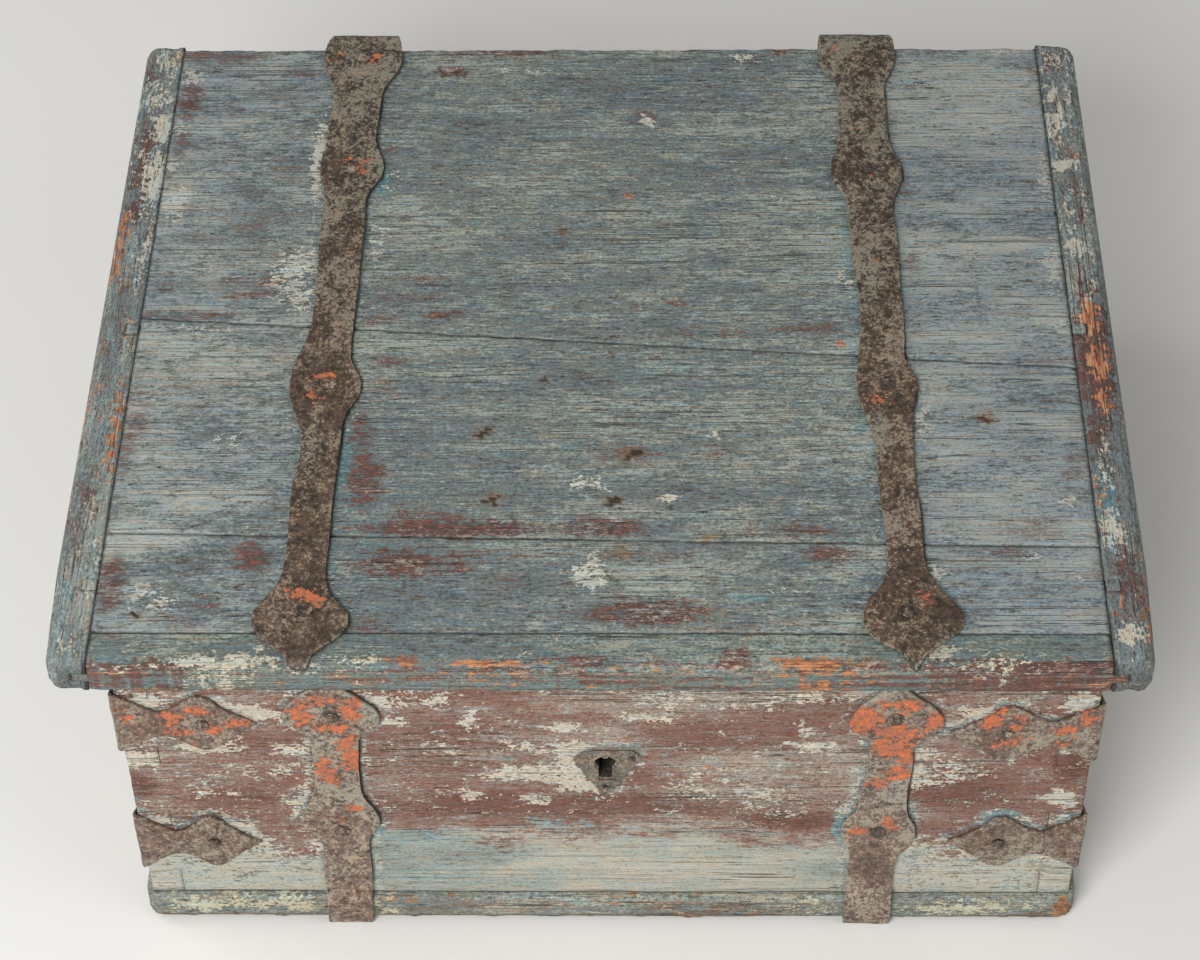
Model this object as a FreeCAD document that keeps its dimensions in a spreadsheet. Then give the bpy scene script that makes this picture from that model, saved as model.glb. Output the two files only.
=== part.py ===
import FreeCAD, Part
import math
import os
import Sketcher

os.makedirs("parts", exist_ok=True)
doc = FreeCAD.newDocument("painted_chest")
Vector = FreeCAD.Vector
UP = Vector(0, 0, 1)
BACK = Vector(0, 1, 0)
RIGHT = Vector(1, 0, 0)

# Driving dimensions in millimetres: x runs right, y runs back, z runs up from the floor.
# A cell that starts with an equals sign follows other sizes, and can be overwritten by a length.
DIMENSIONS = {
    "lid_length": 620,
    "lid_depth": 533,
    "lid_thickness": 23.5,
    "cleat_width": 25.5,
    "cleat_corner": 9,
    "cleat_round": 6,
    "cleat_under_round": 3,
    "cleat_overrun": 6,
    "cleat_wear": 2.5,
    "cleat_wear_length": 75,
    "tongue_length": 9,
    "tongue_thickness": 7,
    "nosing_width": 24.5,
    "nosing_round": 7,
    "nosing_under_round": 3,
    "back_joint_left": "=lid_depth * 0.48218",
    "back_joint_right": "=lid_depth * 0.56285",
    "middle_width_left": "=lid_depth * 0.33208",
    "middle_width_right": "=lid_depth * 0.27017",
    "peg_side": 8,
    "peg_inset": 60,
    "body_length": 559,
    "body_shift": 3.7,
    "front_overhang": 11.7,
    "wall_height": 208.5,
    "wall_thickness": 20,
    "half_pin": 22,
    "pin_height": 16,
    "tail_flare": 3.5,
    "bottom_thickness": 20,
    "plinth_projection": 4.5,
    "plinth_corner": 11,
    "iron_thickness": 3.5,
    "hinge_pin_radius": 3,
    "hinge_pin_end": 1.5,
    "running_clearance": 0.05,
    "hinge_gap": 0.5,
    "eye_width": 40,
    "middle_knuckle": 26,
    "knuckle_gap": 0.4,
    "knuckle_relief": 0.8,
    "lid_strap_width": 28,
    "lid_strap_wrap": 60,
    "lid_strap_curl": 80,
    "left_strap_x": "=-body_length * 0.29195",
    "left_strap_lean": -2,
    "right_strap_x": "=body_length * 0.29428",
    "right_strap_lean": 9,
    "front_strap_width": 28,
    "front_strap_nib": 0.5,
    "front_left_x": "=-body_length * 0.27281",
    "front_left_lean": -3,
    "front_right_x": "=body_length * 0.30143",
    "front_right_lean": -9,
    "front_plinth_jog": 12,
    "strap_lap": 70,
    "back_strap_width": 30,
    "corner_iron": 3,
    "corner_leg": "=(body_length / 2 - front_right_x - front_strap_width)",
    "corner_width": 52,
    "upper_left_iron_z": 191.5,
    "upper_right_iron_z": 183.5,
    "lower_left_iron_z": 78,
    "lower_right_iron_z": 79.5,
    "nail_head_radius": 5.8,
    "nail_head_height": 2.6,
    "nail_shank": 4,
    "nail_length": 19,
    "small_head_radius": 3,
    "small_head_height": 1.3,
    "small_shank": 2,
    "small_length": 12,
    "bottom_nail_inset": 10,
    "bottom_nail_length": 45,
    "keyhole_x": 2.5,
    "keyhole_z": 154.1,
    "keyhole_radius": 6,
    "keyhole_slot_width": 7.4,
    "keyhole_slot_drop": 15.5,
    "escutcheon_width": 41,
    "escutcheon_height": 43.5,
    "escutcheon_thickness": 1.8,
    "lock_plate_width": 136,
    "lock_plate_drop": 32,
    "lock_plate_thickness": 2.5,
    "lock_plate_margin": 3,
    "case_width": 120,
    "case_drop": 24,
    "case_depth": 24,
    "case_wall": 1.5,
    "case_headroom": 5,
    "staple_y": 12,
    "staple_leg": 3.5,
    "staple_thickness": 5,
    "staple_gap": 8,
    "staple_length": 28.5,
    "staple_plate_length": 64,
    "staple_plate_width": 22,
    "staple_plate_thickness": 2.5,
    "staple_clearance": 1.5,
    "bolt_height": 10,
    "bolt_thickness": 5,
    "bolt_length": 49.5,
    "bolt_drop": 12,
    "bolt_rest_gap": 4,
    "bolt_travel": 13,
    "bolt_tail_width": 8,
    "bolt_tail_offset": 10,
    "bolt_tail_clearance": 8,
    "bolt_toe_reach": 7,
    "bolt_toe_height": 6,
    "bolt_play": 0.3,
    "guide_thickness": 6,
    "guide_wall": 3,
    "guide_spacing": 11,
    "drill_pin_radius": 2.5,
    "drill_pin_setback": 3,
    "ward_radius": 7,
    "ward_thickness": 1.2,
    "ward_depth": 5,
    "spring_thickness": 0.8,
    "spring_width": 4,
    "spring_length": 14,
    "handle_z": 150,
    "handle_half_span": 50,
    "handle_drop": 50,
    "handle_inset": 11,
    "handle_tip": 8,
    "bail_radius": 3.5,
    "bail_bend": 14,
    "bail_neck_bend": 6,
    "bail_play": 0.1,
    "eye_wire_radius": 2.5,
    "eye_shank_length": 16,
    "handle_plate_radius": 15,
    "handle_plate_thickness": 2,
    "overrun": 5,
}

sizes = doc.addObject("Spreadsheet::Sheet", "sizes")
for row, (alias, value) in enumerate(DIMENSIONS.items(), start=1):
    sizes.set(f"A{row}", alias.replace("_", " "))
    sizes.set(f"B{row}", str(value))
    sizes.setAlias(f"B{row}", alias)
doc.recompute()

places = doc.addObject("App::VarSet", "places")


def size(alias):
    """Value of one driving dimension."""
    return float(getattr(sizes, alias))


def place(name, formula):
    """Name a derived size or position, bound to the sheet, and give back its value."""
    places.addProperty("App::PropertyFloat", name)
    places.setExpression(name, formula)
    places.recompute()
    return float(getattr(places, name))


# Levels, from the iron laps that the chest stands on up to the lid.
floor_z = place("floor_z", "0")
bottom_z = place("bottom_z", "sizes.iron_thickness")
wall_z = place("wall_z", "places.bottom_z + sizes.bottom_thickness")
seat_z = place("seat_z", "places.wall_z + sizes.wall_height")
top_z = place("top_z", "places.seat_z + sizes.lid_thickness")

# Hinge eyes, rolled from the strap iron, one radius behind the body. The lid strap curls over them.
eye_inner = place("eye_inner", "sizes.hinge_pin_radius + sizes.running_clearance")
eye_outer = place("eye_outer", "places.eye_inner + sizes.iron_thickness")
curl_inner = place("curl_inner", "places.eye_outer + sizes.hinge_gap")
curl_outer = place("curl_outer", "places.curl_inner + sizes.iron_thickness")
curl_reach = place("curl_reach", "places.curl_outer * sin(sizes.lid_strap_curl * 1deg)")
hinge_z = place("hinge_z", "places.top_z - places.curl_inner")
nib_reach = place(
    "nib_reach",
    "(sizes.nosing_round + sizes.iron_thickness) * sin(sizes.lid_strap_wrap * 1deg)"
    " - sizes.nosing_round",
)

# Depths, with the whole piece centred between the front nibs and the back of the hinge eyes.
lid_back = place(
    "lid_back",
    "(sizes.lid_depth + places.nib_reach - sizes.hinge_gap - places.eye_outer - places.curl_reach) / 2",
)
lid_front = place("lid_front", "places.lid_back - sizes.lid_depth")
body_front = place("body_front", "places.lid_front + sizes.front_overhang")
body_back = place("body_back", "places.lid_back + sizes.hinge_gap")
hinge_y = place("hinge_y", "places.body_back + places.eye_outer")
inner_front = place("inner_front", "places.body_front + sizes.wall_thickness")
inner_back = place("inner_back", "places.body_back - sizes.wall_thickness")
plinth_front = place("plinth_front", "places.body_front - sizes.plinth_projection")
plinth_back = place("plinth_back", "places.body_back + sizes.plinth_projection")
nosing_back = place("nosing_back", "places.lid_front + sizes.nosing_width")
cleat_back = place("cleat_back", "places.lid_back + sizes.cleat_overrun")
cleat_shoulder = place("cleat_shoulder", "places.lid_front + sizes.cleat_wear_length")

# Half widths of the lid, from its own middle, and of the body.
lid_side = place("lid_side", "sizes.lid_length / 2")
cleat_inner = place("cleat_inner", "places.lid_side - sizes.cleat_width")
tongue_end = place("tongue_end", "places.cleat_inner + sizes.tongue_length")
body_side = place("body_side", "sizes.body_length / 2")

# The body stands a little to the right under the lid.
body_middle = place("body_middle", "sizes.body_shift")
body_left = place("body_left", "places.body_middle - places.body_side")
body_right = place("body_right", "places.body_middle + places.body_side")
inner_left = place("inner_left", "places.body_left + sizes.wall_thickness")
inner_right = place("inner_right", "places.body_right - sizes.wall_thickness")
plinth_left = place("plinth_left", "places.body_left - sizes.plinth_projection")
plinth_right = place("plinth_right", "places.body_right + sizes.plinth_projection")

nodes = {}


def sub_part(label, item):
    """Register one physical piece of the chest under its own name."""
    item.Label = label
    nodes[label] = item
    return item


def solid_feature(label, shape):
    """A piece whose forged or turned shape is computed here from the named sizes."""
    item = doc.addObject("Part::Feature", label)
    item.Shape = shape
    item.Placement = FreeCAD.Placement()
    return sub_part(label, item)


def box_between(name, low, high):
    """A box between two corners, each coordinate a formula."""
    box = doc.addObject("Part::Box", name)
    for axis, side, start, end in zip("xyz", ("Length", "Width", "Height"), low, high):
        box.setExpression(side, f"({end}) - ({start})")
        box.setExpression(f"Placement.Base.{axis}", start)
    return box


def cut_object(name, base, tool):
    """The base with the room for the tool taken out."""
    cut = doc.addObject("Part::Cut", name)
    cut.Base = base
    cut.Tool = tool
    return cut


def origin_plane(body, role):
    """One of the body's own origin planes."""
    for feature in body.Origin.OriginFeatures:
        if feature.Role == role:
            return feature
    raise ValueError(role)


def polygon_sketch(body, name, role, corners, offset=None):
    """A closed polygon whose corners are pairs of named places."""
    sketch = body.newObject("Sketcher::SketchObject", name)
    sketch.AttachmentSupport = (origin_plane(body, role), [""])
    sketch.MapMode = "FlatFace"
    if offset:
        sketch.setExpression("AttachmentOffset.Base.z", offset)
    spots = [Vector(getattr(places, across), getattr(places, along), 0) for across, along in corners]
    count = len(corners)
    for index in range(count):
        line = Part.LineSegment(spots[index], spots[(index + 1) % count])
        sketch.addGeometry(line, False)
    for index in range(count):
        sketch.addConstraint(Sketcher.Constraint("Coincident", index, 2, (index + 1) % count, 1))
    for index, (across, along) in enumerate(corners):
        for kind, value, source in (
            ("DistanceX", spots[index].x, across),
            ("DistanceY", spots[index].y, along),
        ):
            number = sketch.addConstraint(Sketcher.Constraint(kind, -1, 1, index, 1, value))
            sketch.setExpression(f"Constraints[{number}]", f"places.{source}")
    return sketch


def pad(body, name, sketch, length, reverse=False):
    """The sketch raised to a board."""
    feature = body.newObject("PartDesign::Pad", name)
    feature.Profile = sketch
    feature.setExpression("Length", length)
    feature.Reversed = reverse
    return feature


def edge_names(feature, wanted):
    """Names of the edges that the test picks."""
    return [f"Edge{i}" for i, edge in enumerate(feature.Shape.Edges, start=1) if wanted(edge)]


def rounded(body, name, base, wanted, radius):
    """The picked edges of the last feature, eased to a radius."""
    doc.recompute()
    fillet = body.newObject("PartDesign::Fillet", name)
    fillet.Base = (base, edge_names(base, wanted))
    fillet.setExpression("Radius", radius)
    body.Tip = fillet
    return fillet


def middle(edge):
    """Middle point of an edge."""
    first, last = edge.ParameterRange
    return edge.valueAt((first + last) / 2)


def along(edge, axis):
    """True when the edge runs straight along the axis."""
    if edge.Curve.TypeId != "Part::GeomLine":
        return False
    return abs(edge.tangentAt(edge.FirstParameter).dot(axis)) > math.cos(math.radians(1))


def near(value, target):
    """True when two coordinates are the same place."""
    return abs(value - target) < 1e-4


def forged_nail(tip, direction, head_radius, head_height, shank, length):
    """A hand-forged nail: a low faceted rose head on a square shank, driven along direction."""
    crown_share = 0.35
    facets = 7
    rings = []
    for radius, height in ((head_radius, 0), (head_radius * crown_share, head_height)):
        turn = 2 * math.pi / facets
        ring = [
            Vector(radius * math.cos(i * turn), radius * math.sin(i * turn), height)
            for i in range(facets)
        ]
        rings.append(Part.makePolygon(ring + ring[:1]))
    head = Part.makeLoft(rings, True, True)
    body = Part.makeBox(shank, shank, length, Vector(-shank / 2, -shank / 2, -length))
    nail = head.fuse(body)
    turn = FreeCAD.Rotation(UP, Vector(0, 0, 0) - direction)
    nail.Placement = FreeCAD.Placement(tip, turn)
    return nail


def big_nail(tip, direction):
    """A strap nail."""
    return forged_nail(
        tip, direction, size("nail_head_radius"), size("nail_head_height"),
        size("nail_shank"), size("nail_length"),
    )


def small_nail(tip, direction):
    """A plate nail."""
    return forged_nail(
        tip, direction, size("small_head_radius"), size("small_head_height"),
        size("small_shank"), size("small_length"),
    )


def smooth_prism(left, right, lift, depth):
    """A strap outline drawn by two smooth sides, raised along depth from lift."""
    sides = []
    for points in (left, right[::-1]):
        curve = Part.BSplineCurve()
        curve.interpolate([point + lift for point in points])
        sides.append(curve.toShape())
    ends = [
        Part.LineSegment(left[-1] + lift, right[-1] + lift).toShape(),
        Part.LineSegment(right[0] + lift, left[0] + lift).toShape(),
    ]
    wire = Part.Wire([sides[0], ends[0], sides[1], ends[1]])
    return Part.Face(wire).extrude(depth)


# Front and back boards. Tails at both ends hook round the pins of the side boards.
TAILS = 3
place("tail_height", f"(sizes.wall_height - 2 * sizes.half_pin - {TAILS - 1} * sizes.pin_height) / {TAILS}")
place("tail_root_left", "places.inner_left")
place("tail_tip_left", "places.body_left")
place("tail_root_right", "places.inner_right")
place("tail_tip_right", "places.body_right")
for number in range(TAILS):
    step = f"{number} * (places.tail_height + sizes.pin_height)"
    place(f"tail_low_{number}", f"places.wall_z + sizes.half_pin + {step}")
    place(f"tail_high_{number}", f"places.tail_low_{number} + places.tail_height")
    place(f"tail_flare_low_{number}", f"places.tail_low_{number} - sizes.tail_flare")
    place(f"tail_flare_high_{number}", f"places.tail_high_{number} + sizes.tail_flare")
doc.recompute()


def tail_corners(side, order):
    """Corners of the tails at one end, walked up or down."""
    corners = []
    for number in order:
        corners += [
            (f"tail_root_{side}", f"tail_low_{number}"),
            (f"tail_tip_{side}", f"tail_flare_low_{number}"),
            (f"tail_tip_{side}", f"tail_flare_high_{number}"),
            (f"tail_root_{side}", f"tail_high_{number}"),
        ]
    return corners


def tailed_board(name, level):
    """A wide board with dovetail tails on both ends, standing on the bottom."""
    body = doc.addObject("PartDesign::Body", name)
    rising = tail_corners("right", range(TAILS))
    falling = tail_corners("left", range(TAILS))[::-1]
    outline = [("tail_root_left", "wall_z"), ("tail_root_right", "wall_z")] + rising
    outline += [("tail_root_right", "seat_z"), ("tail_root_left", "seat_z")] + falling
    sketch = polygon_sketch(body, name + "_outline", "XZ_Plane", outline)
    pad(body, name + "_pad", sketch, "sizes.wall_thickness", reverse=True)
    body.setExpression("Placement.Base.y", level)
    return body


front_blank = tailed_board("front_blank", "places.body_front")
back_blank = tailed_board("back_blank", "places.inner_back")
doc.recompute()

# Side boards, cut away where the tails of the front and back boards lie.
tail_tools = doc.addObject("Part::Compound", "tail_tools")
tail_tools.Links = [front_blank, back_blank]
side_blanks = {}
for side, low_x, high_x in (
    ("left", "places.body_left", "places.inner_left"),
    ("right", "places.inner_right", "places.body_right"),
):
    slab = box_between(
        f"{side}_slab",
        (low_x, "places.body_front", "places.wall_z"),
        (high_x, "places.body_back", "places.seat_z"),
    )
    side_blanks[side] = cut_object(f"{side}_side_blank", slab, tail_tools)

# Three bottom boards run left to right. Their edges stand out all round as the plinth.
BOTTOM_BOARDS = ("front", "middle", "back")
place("bottom_board_depth", f"(places.plinth_back - places.plinth_front) / {len(BOTTOM_BOARDS)}")
bottom_blanks = {}
for number, position in enumerate(BOTTOM_BOARDS):
    low = place(f"bottom_low_{number}", f"places.plinth_front + {number} * places.bottom_board_depth")
    high = place(f"bottom_high_{number}", f"places.bottom_low_{number} + places.bottom_board_depth")
    doc.recompute()
    body = doc.addObject("PartDesign::Body", f"bottom_{position}_blank")
    outline = [
        ("plinth_left", f"bottom_low_{number}"),
        ("plinth_right", f"bottom_low_{number}"),
        ("plinth_right", f"bottom_high_{number}"),
        ("plinth_left", f"bottom_high_{number}"),
    ]
    sketch = polygon_sketch(body, f"bottom_{position}_outline", "XY_Plane", outline, "places.bottom_z")
    slab = pad(body, f"bottom_{position}_pad", sketch, "sizes.bottom_thickness")
    outer_y = {"front": plinth_front, "back": plinth_back}.get(position)
    if outer_y is not None:
        rounded(
            body, f"bottom_{position}_corners", slab,
            lambda edge: along(edge, UP) and near(middle(edge).y, outer_y),
            "sizes.plinth_corner",
        )
    bottom_blanks[position] = body

# Lid boards: three tapered planks whose tongues enter the cleats, and a rounded nosing in front.
place("lid_left", "-places.cleat_inner")
place("lid_right", "places.cleat_inner")
place("tongue_left", "-places.tongue_end")
place("tongue_right", "places.tongue_end")
place("tongue_z", "places.seat_z + (sizes.lid_thickness - sizes.tongue_thickness) / 2")
place("back_joint_y_left", "places.lid_back - sizes.back_joint_left")
place("back_joint_y_right", "places.lid_back - sizes.back_joint_right")
place("front_joint_y_left", "places.back_joint_y_left - sizes.middle_width_left")
place("front_joint_y_right", "places.back_joint_y_right - sizes.middle_width_right")
doc.recompute()


def lid_plank(name, front_left, front_right, back_left, back_right):
    """A plank of the lid with a tongue on each end."""
    body = doc.addObject("PartDesign::Body", name)
    outline = [
        ("lid_left", front_left), ("lid_right", front_right),
        ("lid_right", back_right), ("lid_left", back_left),
    ]
    sketch = polygon_sketch(body, name + "_outline", "XY_Plane", outline, "places.seat_z")
    pad(body, name + "_pad", sketch, "sizes.lid_thickness")
    for end, root, front, back in (
        ("left", "lid_left", front_left, back_left),
        ("right", "lid_right", front_right, back_right),
    ):
        tip = f"tongue_{end}"
        tongue = [(root, front), (tip, front), (tip, back), (root, back)]
        tongue_sketch = polygon_sketch(body, f"{name}_{end}_edge", "XY_Plane", tongue, "places.tongue_z")
        pad(body, f"{name}_{end}_tongue", tongue_sketch, "sizes.tongue_thickness")
    return body


plank_back = lid_plank(
    "plank_back", "back_joint_y_left", "back_joint_y_right", "lid_back", "lid_back"
)
plank_middle = lid_plank(
    "plank_middle", "front_joint_y_left", "front_joint_y_right",
    "back_joint_y_left", "back_joint_y_right",
)
plank_front = lid_plank(
    "plank_front", "nosing_back", "nosing_back", "front_joint_y_left", "front_joint_y_right"
)
nosing_blank = lid_plank("nosing_blank", "lid_front", "lid_front", "nosing_back", "nosing_back")
for edge_place, level, radius in (
    ("upper", top_z, "sizes.nosing_round"), ("lower", seat_z, "sizes.nosing_under_round"),
):
    rounded(
        nosing_blank, f"nosing_{edge_place}_edge", nosing_blank.Tip,
        lambda edge: along(edge, RIGHT)
        and near(middle(edge).y, lid_front)
        and near(middle(edge).z, level),
        radius,
    )
doc.recompute()

# Cleats: end strips with a groove for the tongues, rounded where hands and knocks wore them.
tongue_tools = doc.addObject("Part::Compound", "tongue_tools")
tongue_tools.Links = [plank_back, plank_middle, plank_front, nosing_blank]
place("lid_side_left", "-places.lid_side")
place("worn_side", "places.lid_side - sizes.cleat_wear")
place("worn_side_left", "-places.worn_side")
doc.recompute()
cleat_blanks = {}
for side, inner, outer, worn, outer_x in (
    ("left", "lid_left", "lid_side_left", "worn_side_left", -lid_side),
    ("right", "lid_right", "lid_side", "worn_side", lid_side),
):
    body = doc.addObject("PartDesign::Body", f"cleat_{side}_bar")
    outline = [
        (inner, "lid_front"), (worn, "lid_front"), (outer, "cleat_shoulder"),
        (outer, "cleat_back"), (inner, "cleat_back"),
    ]
    sketch = polygon_sketch(body, f"cleat_{side}_outline", "XY_Plane", outline, "places.seat_z")
    bar = pad(body, f"cleat_{side}_pad", sketch, "sizes.lid_thickness")
    corners = rounded(
        body, f"cleat_{side}_corners", bar,
        lambda edge: along(edge, UP) and abs(middle(edge).x) > tongue_end,
        "sizes.cleat_corner",
    )
    upper = rounded(
        body, f"cleat_{side}_upper_edges", corners,
        lambda edge: along(edge, BACK) and near(middle(edge).x, outer_x) and near(middle(edge).z, top_z),
        "sizes.cleat_round",
    )
    rounded(
        body, f"cleat_{side}_lower_edges", upper,
        lambda edge: along(edge, BACK) and near(middle(edge).x, outer_x) and near(middle(edge).z, seat_z),
        "sizes.cleat_under_round",
    )
    doc.recompute()
    cleat_blanks[side] = cut_object(f"cleat_{side}_grooved", body, tongue_tools)
doc.recompute()

# Square pegs lock each cleat to the tongues of the back, middle and front planks.
PEGS = 3
pegs = []
peg_side = size("peg_side")
peg_reach = (lid_side + cleat_inner) / 2 - size("tongue_length") / 2
for sign in (-1, 1):
    for number in range(PEGS):
        span = size("lid_depth") - 2 * size("peg_inset")
        y = lid_back - size("peg_inset") - number * span / (PEGS - 1)
        x = sign * (cleat_inner + size("tongue_length") / 2)
        corner = Vector(x - peg_side / 2, y - peg_side / 2, seat_z)
        pegs.append(Part.makeBox(peg_side, peg_side, size("lid_thickness"), corner))
peg_shape = Part.makeCompound(pegs)

# Lid straps: flat iron with two swells, a spade end that curls over the nosing, and a back end
# that curls down over the hinge, with the hinge's middle knuckle under it.
# Each row holds the share of the way from the eye to the nib, then the edges left and right of
# the centre line as shares of the strap's width.
LEFT_LID_STRAP_SHARES = (
    (0.000, 0.74, 0.76), (0.018, 0.86, 0.85), (0.035, 0.95, 0.92), (0.062, 0.95, 0.94),
    (0.080, 0.90, 0.85), (0.103, 0.71, 0.63), (0.135, 0.62, 0.54), (0.185, 0.66, 0.52),
    (0.212, 0.68, 0.54), (0.232, 0.74, 0.67), (0.252, 0.75, 0.76), (0.272, 0.69, 0.68),
    (0.292, 0.60, 0.49), (0.330, 0.58, 0.44), (0.400, 0.57, 0.44), (0.475, 0.52, 0.44),
    (0.525, 0.57, 0.42), (0.548, 0.66, 0.42), (0.575, 0.82, 0.50), (0.595, 0.86, 0.67),
    (0.620, 0.85, 0.69), (0.645, 0.72, 0.49), (0.680, 0.50, 0.40), (0.750, 0.55, 0.37),
    (0.860, 0.54, 0.37), (0.888, 0.63, 0.40), (0.908, 0.82, 0.56), (0.925, 1.01, 0.84),
    (0.940, 1.06, 0.93), (0.952, 1.00, 0.86), (0.966, 0.80, 0.64), (0.982, 0.46, 0.30),
    (1.000, 0.20, 0.16),
)
RIGHT_LID_STRAP_SHARES = (
    (0.000, 0.84, 0.76), (0.018, 0.90, 0.90), (0.035, 0.95, 0.93), (0.062, 0.95, 0.89),
    (0.078, 0.85, 0.80), (0.098, 0.63, 0.64), (0.135, 0.56, 0.58), (0.185, 0.60, 0.57),
    (0.218, 0.71, 0.61), (0.240, 0.82, 0.76), (0.265, 0.86, 0.81), (0.285, 0.75, 0.72),
    (0.310, 0.57, 0.54), (0.360, 0.54, 0.54), (0.440, 0.50, 0.52), (0.500, 0.47, 0.50),
    (0.545, 0.55, 0.47), (0.575, 0.63, 0.48), (0.600, 0.69, 0.66), (0.622, 0.68, 0.63),
    (0.652, 0.54, 0.50), (0.690, 0.40, 0.46), (0.750, 0.40, 0.42), (0.800, 0.37, 0.46),
    (0.870, 0.40, 0.49), (0.890, 0.49, 0.62), (0.908, 0.75, 0.85), (0.925, 0.90, 1.07),
    (0.940, 0.94, 1.12), (0.953, 0.88, 1.00), (0.966, 0.70, 0.72), (0.982, 0.22, 0.32),
    (1.000, 0.13, 0.13),
)
LID_STRAP_NAIL_SHARES = (0.055, 0.256, 0.606, 0.928)

iron = size("iron_thickness")
strap_back = hinge_y + curl_reach
strap_front = lid_front - nib_reach
hinge_point = Vector(0, hinge_y, hinge_z)


def strap_middle(start_x, lean, share):
    """Centre line of a lid strap at a share of its length."""
    return Vector(start_x + lean * share, strap_back + (strap_front - strap_back) * share, 0)


def lid_strap_section():
    """Side profile of a lid strap: flat on the lid, over the nosing in front, over the hinge behind."""
    wrap = math.radians(size("lid_strap_wrap"))
    curl = math.radians(size("lid_strap_curl"))
    inner = size("nosing_round")
    outer = inner + iron
    pivot = Vector(0, lid_front + inner, top_z - inner)

    def around(radius, angle):
        return pivot + Vector(0, -radius * math.sin(angle), radius * math.cos(angle))

    def behind(radius, angle):
        return hinge_point + Vector(0, radius * math.sin(angle), radius * math.cos(angle))

    start = behind(curl_inner, 0)
    crest = behind(curl_outer, 0)
    edges = [
        Part.LineSegment(start, around(inner, 0)).toShape(),
        Part.Arc(around(inner, 0), around(inner, wrap / 2), around(inner, wrap)).toShape(),
        Part.LineSegment(around(inner, wrap), around(outer, wrap)).toShape(),
        Part.Arc(around(outer, wrap), around(outer, wrap / 2), around(outer, 0)).toShape(),
        Part.LineSegment(around(outer, 0), crest).toShape(),
        Part.Arc(crest, behind(curl_outer, curl / 2), behind(curl_outer, curl)).toShape(),
        Part.LineSegment(behind(curl_outer, curl), behind(curl_inner, curl)).toShape(),
        Part.Arc(behind(curl_inner, curl), behind(curl_inner, curl / 2), start).toShape(),
    ]
    return Part.Face(Part.Wire(edges))


def eye_ring(middle_x, width):
    """A rolled eye round the hinge pin."""
    start = hinge_point + Vector(middle_x - width / 2, 0, 0)
    ring = Part.makeCylinder(eye_outer, width, start, RIGHT)
    return ring.cut(Part.makeCylinder(eye_inner, width, start, RIGHT))


def lid_strap(start_x, lean, outline_shares):
    """A lid strap with its middle knuckle, before the nail holes."""
    half_span = size("lid_strap_width") * 2
    shift = Vector(start_x - half_span, 0, 0)
    section = lid_strap_section()
    section.translate(shift)
    blank = section.extrude(Vector(2 * half_span, 0, 0))
    knuckle = size("middle_knuckle")
    knuckle_start = hinge_point + Vector(start_x - knuckle / 2, 0, 0)
    filled = Part.makeCylinder(curl_inner + iron / 2, knuckle, knuckle_start, RIGHT)
    filled = filled.common(Part.makeBox(knuckle, curl_outer, curl_outer, knuckle_start))
    blank = blank.fuse([filled, eye_ring(start_x, knuckle)])
    blank = blank.cut(Part.makeCylinder(eye_inner, knuckle, knuckle_start, RIGHT))
    width = size("lid_strap_width")
    left = [strap_middle(start_x, lean, s) - Vector(a * width, 0, 0) for s, a, b in outline_shares]
    right = [strap_middle(start_x, lean, s) + Vector(b * width, 0, 0) for s, a, b in outline_shares]
    mask = smooth_prism(left, right, Vector(0, 0, wall_z), Vector(0, 0, top_z))
    return blank.common(mask)


lid_strap_nails = []
lid_straps = {}
for side, shares in (("left", LEFT_LID_STRAP_SHARES), ("right", RIGHT_LID_STRAP_SHARES)):
    start_x = size(f"{side}_strap_x")
    lean = size(f"{side}_strap_lean")
    nails = []
    for share in LID_STRAP_NAIL_SHARES:
        tip = strap_middle(start_x, lean, share) + Vector(0, 0, top_z + iron)
        nails.append(big_nail(tip, Vector(0, 0, -1)))
    holes = Part.makeCompound(nails)
    lid_straps[side] = lid_strap(start_x, lean, shares).cut(holes)
    lid_strap_nails += nails

# Front straps: a spade top under the lid, one swell, over the plinth and under the bottom.
# Each row holds the share of the height, then the left and right edges as shares of the width.
LEFT_FRONT_STRAP_SHARES = (
    (1.000, 0.06, 0.06), (0.972, 0.34, 0.23), (0.945, 0.57, 0.46), (0.918, 0.77, 0.68),
    (0.888, 0.94, 0.91), (0.857, 1.02, 1.02), (0.829, 0.96, 0.98), (0.802, 0.73, 0.82),
    (0.775, 0.54, 0.58), (0.737, 0.49, 0.53), (0.680, 0.48, 0.51), (0.590, 0.49, 0.51),
    (0.520, 0.62, 0.57), (0.478, 0.76, 0.74), (0.437, 0.87, 0.83), (0.403, 0.84, 0.80),
    (0.375, 0.66, 0.65), (0.345, 0.52, 0.58), (0.250, 0.50, 0.58), (0.120, 0.49, 0.55),
    (0.000, 0.49, 0.53),
)
RIGHT_FRONT_STRAP_SHARES = (
    (1.000, 0.05, 0.05), (0.972, 0.28, 0.14), (0.945, 0.46, 0.31), (0.910, 0.68, 0.65),
    (0.875, 0.84, 0.91), (0.845, 0.92, 1.03), (0.818, 0.92, 1.02), (0.795, 0.74, 0.94),
    (0.770, 0.51, 0.75), (0.742, 0.46, 0.54), (0.680, 0.45, 0.53), (0.600, 0.46, 0.52),
    (0.520, 0.51, 0.54), (0.466, 0.57, 0.59), (0.440, 0.71, 0.66), (0.413, 0.80, 0.77),
    (0.380, 0.80, 0.82), (0.350, 0.72, 0.81), (0.320, 0.62, 0.72), (0.290, 0.55, 0.57),
    (0.250, 0.54, 0.50), (0.120, 0.54, 0.51), (0.000, 0.52, 0.54),
)
FRONT_STRAP_NAIL_SHARES = (0.855, 0.395)


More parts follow.
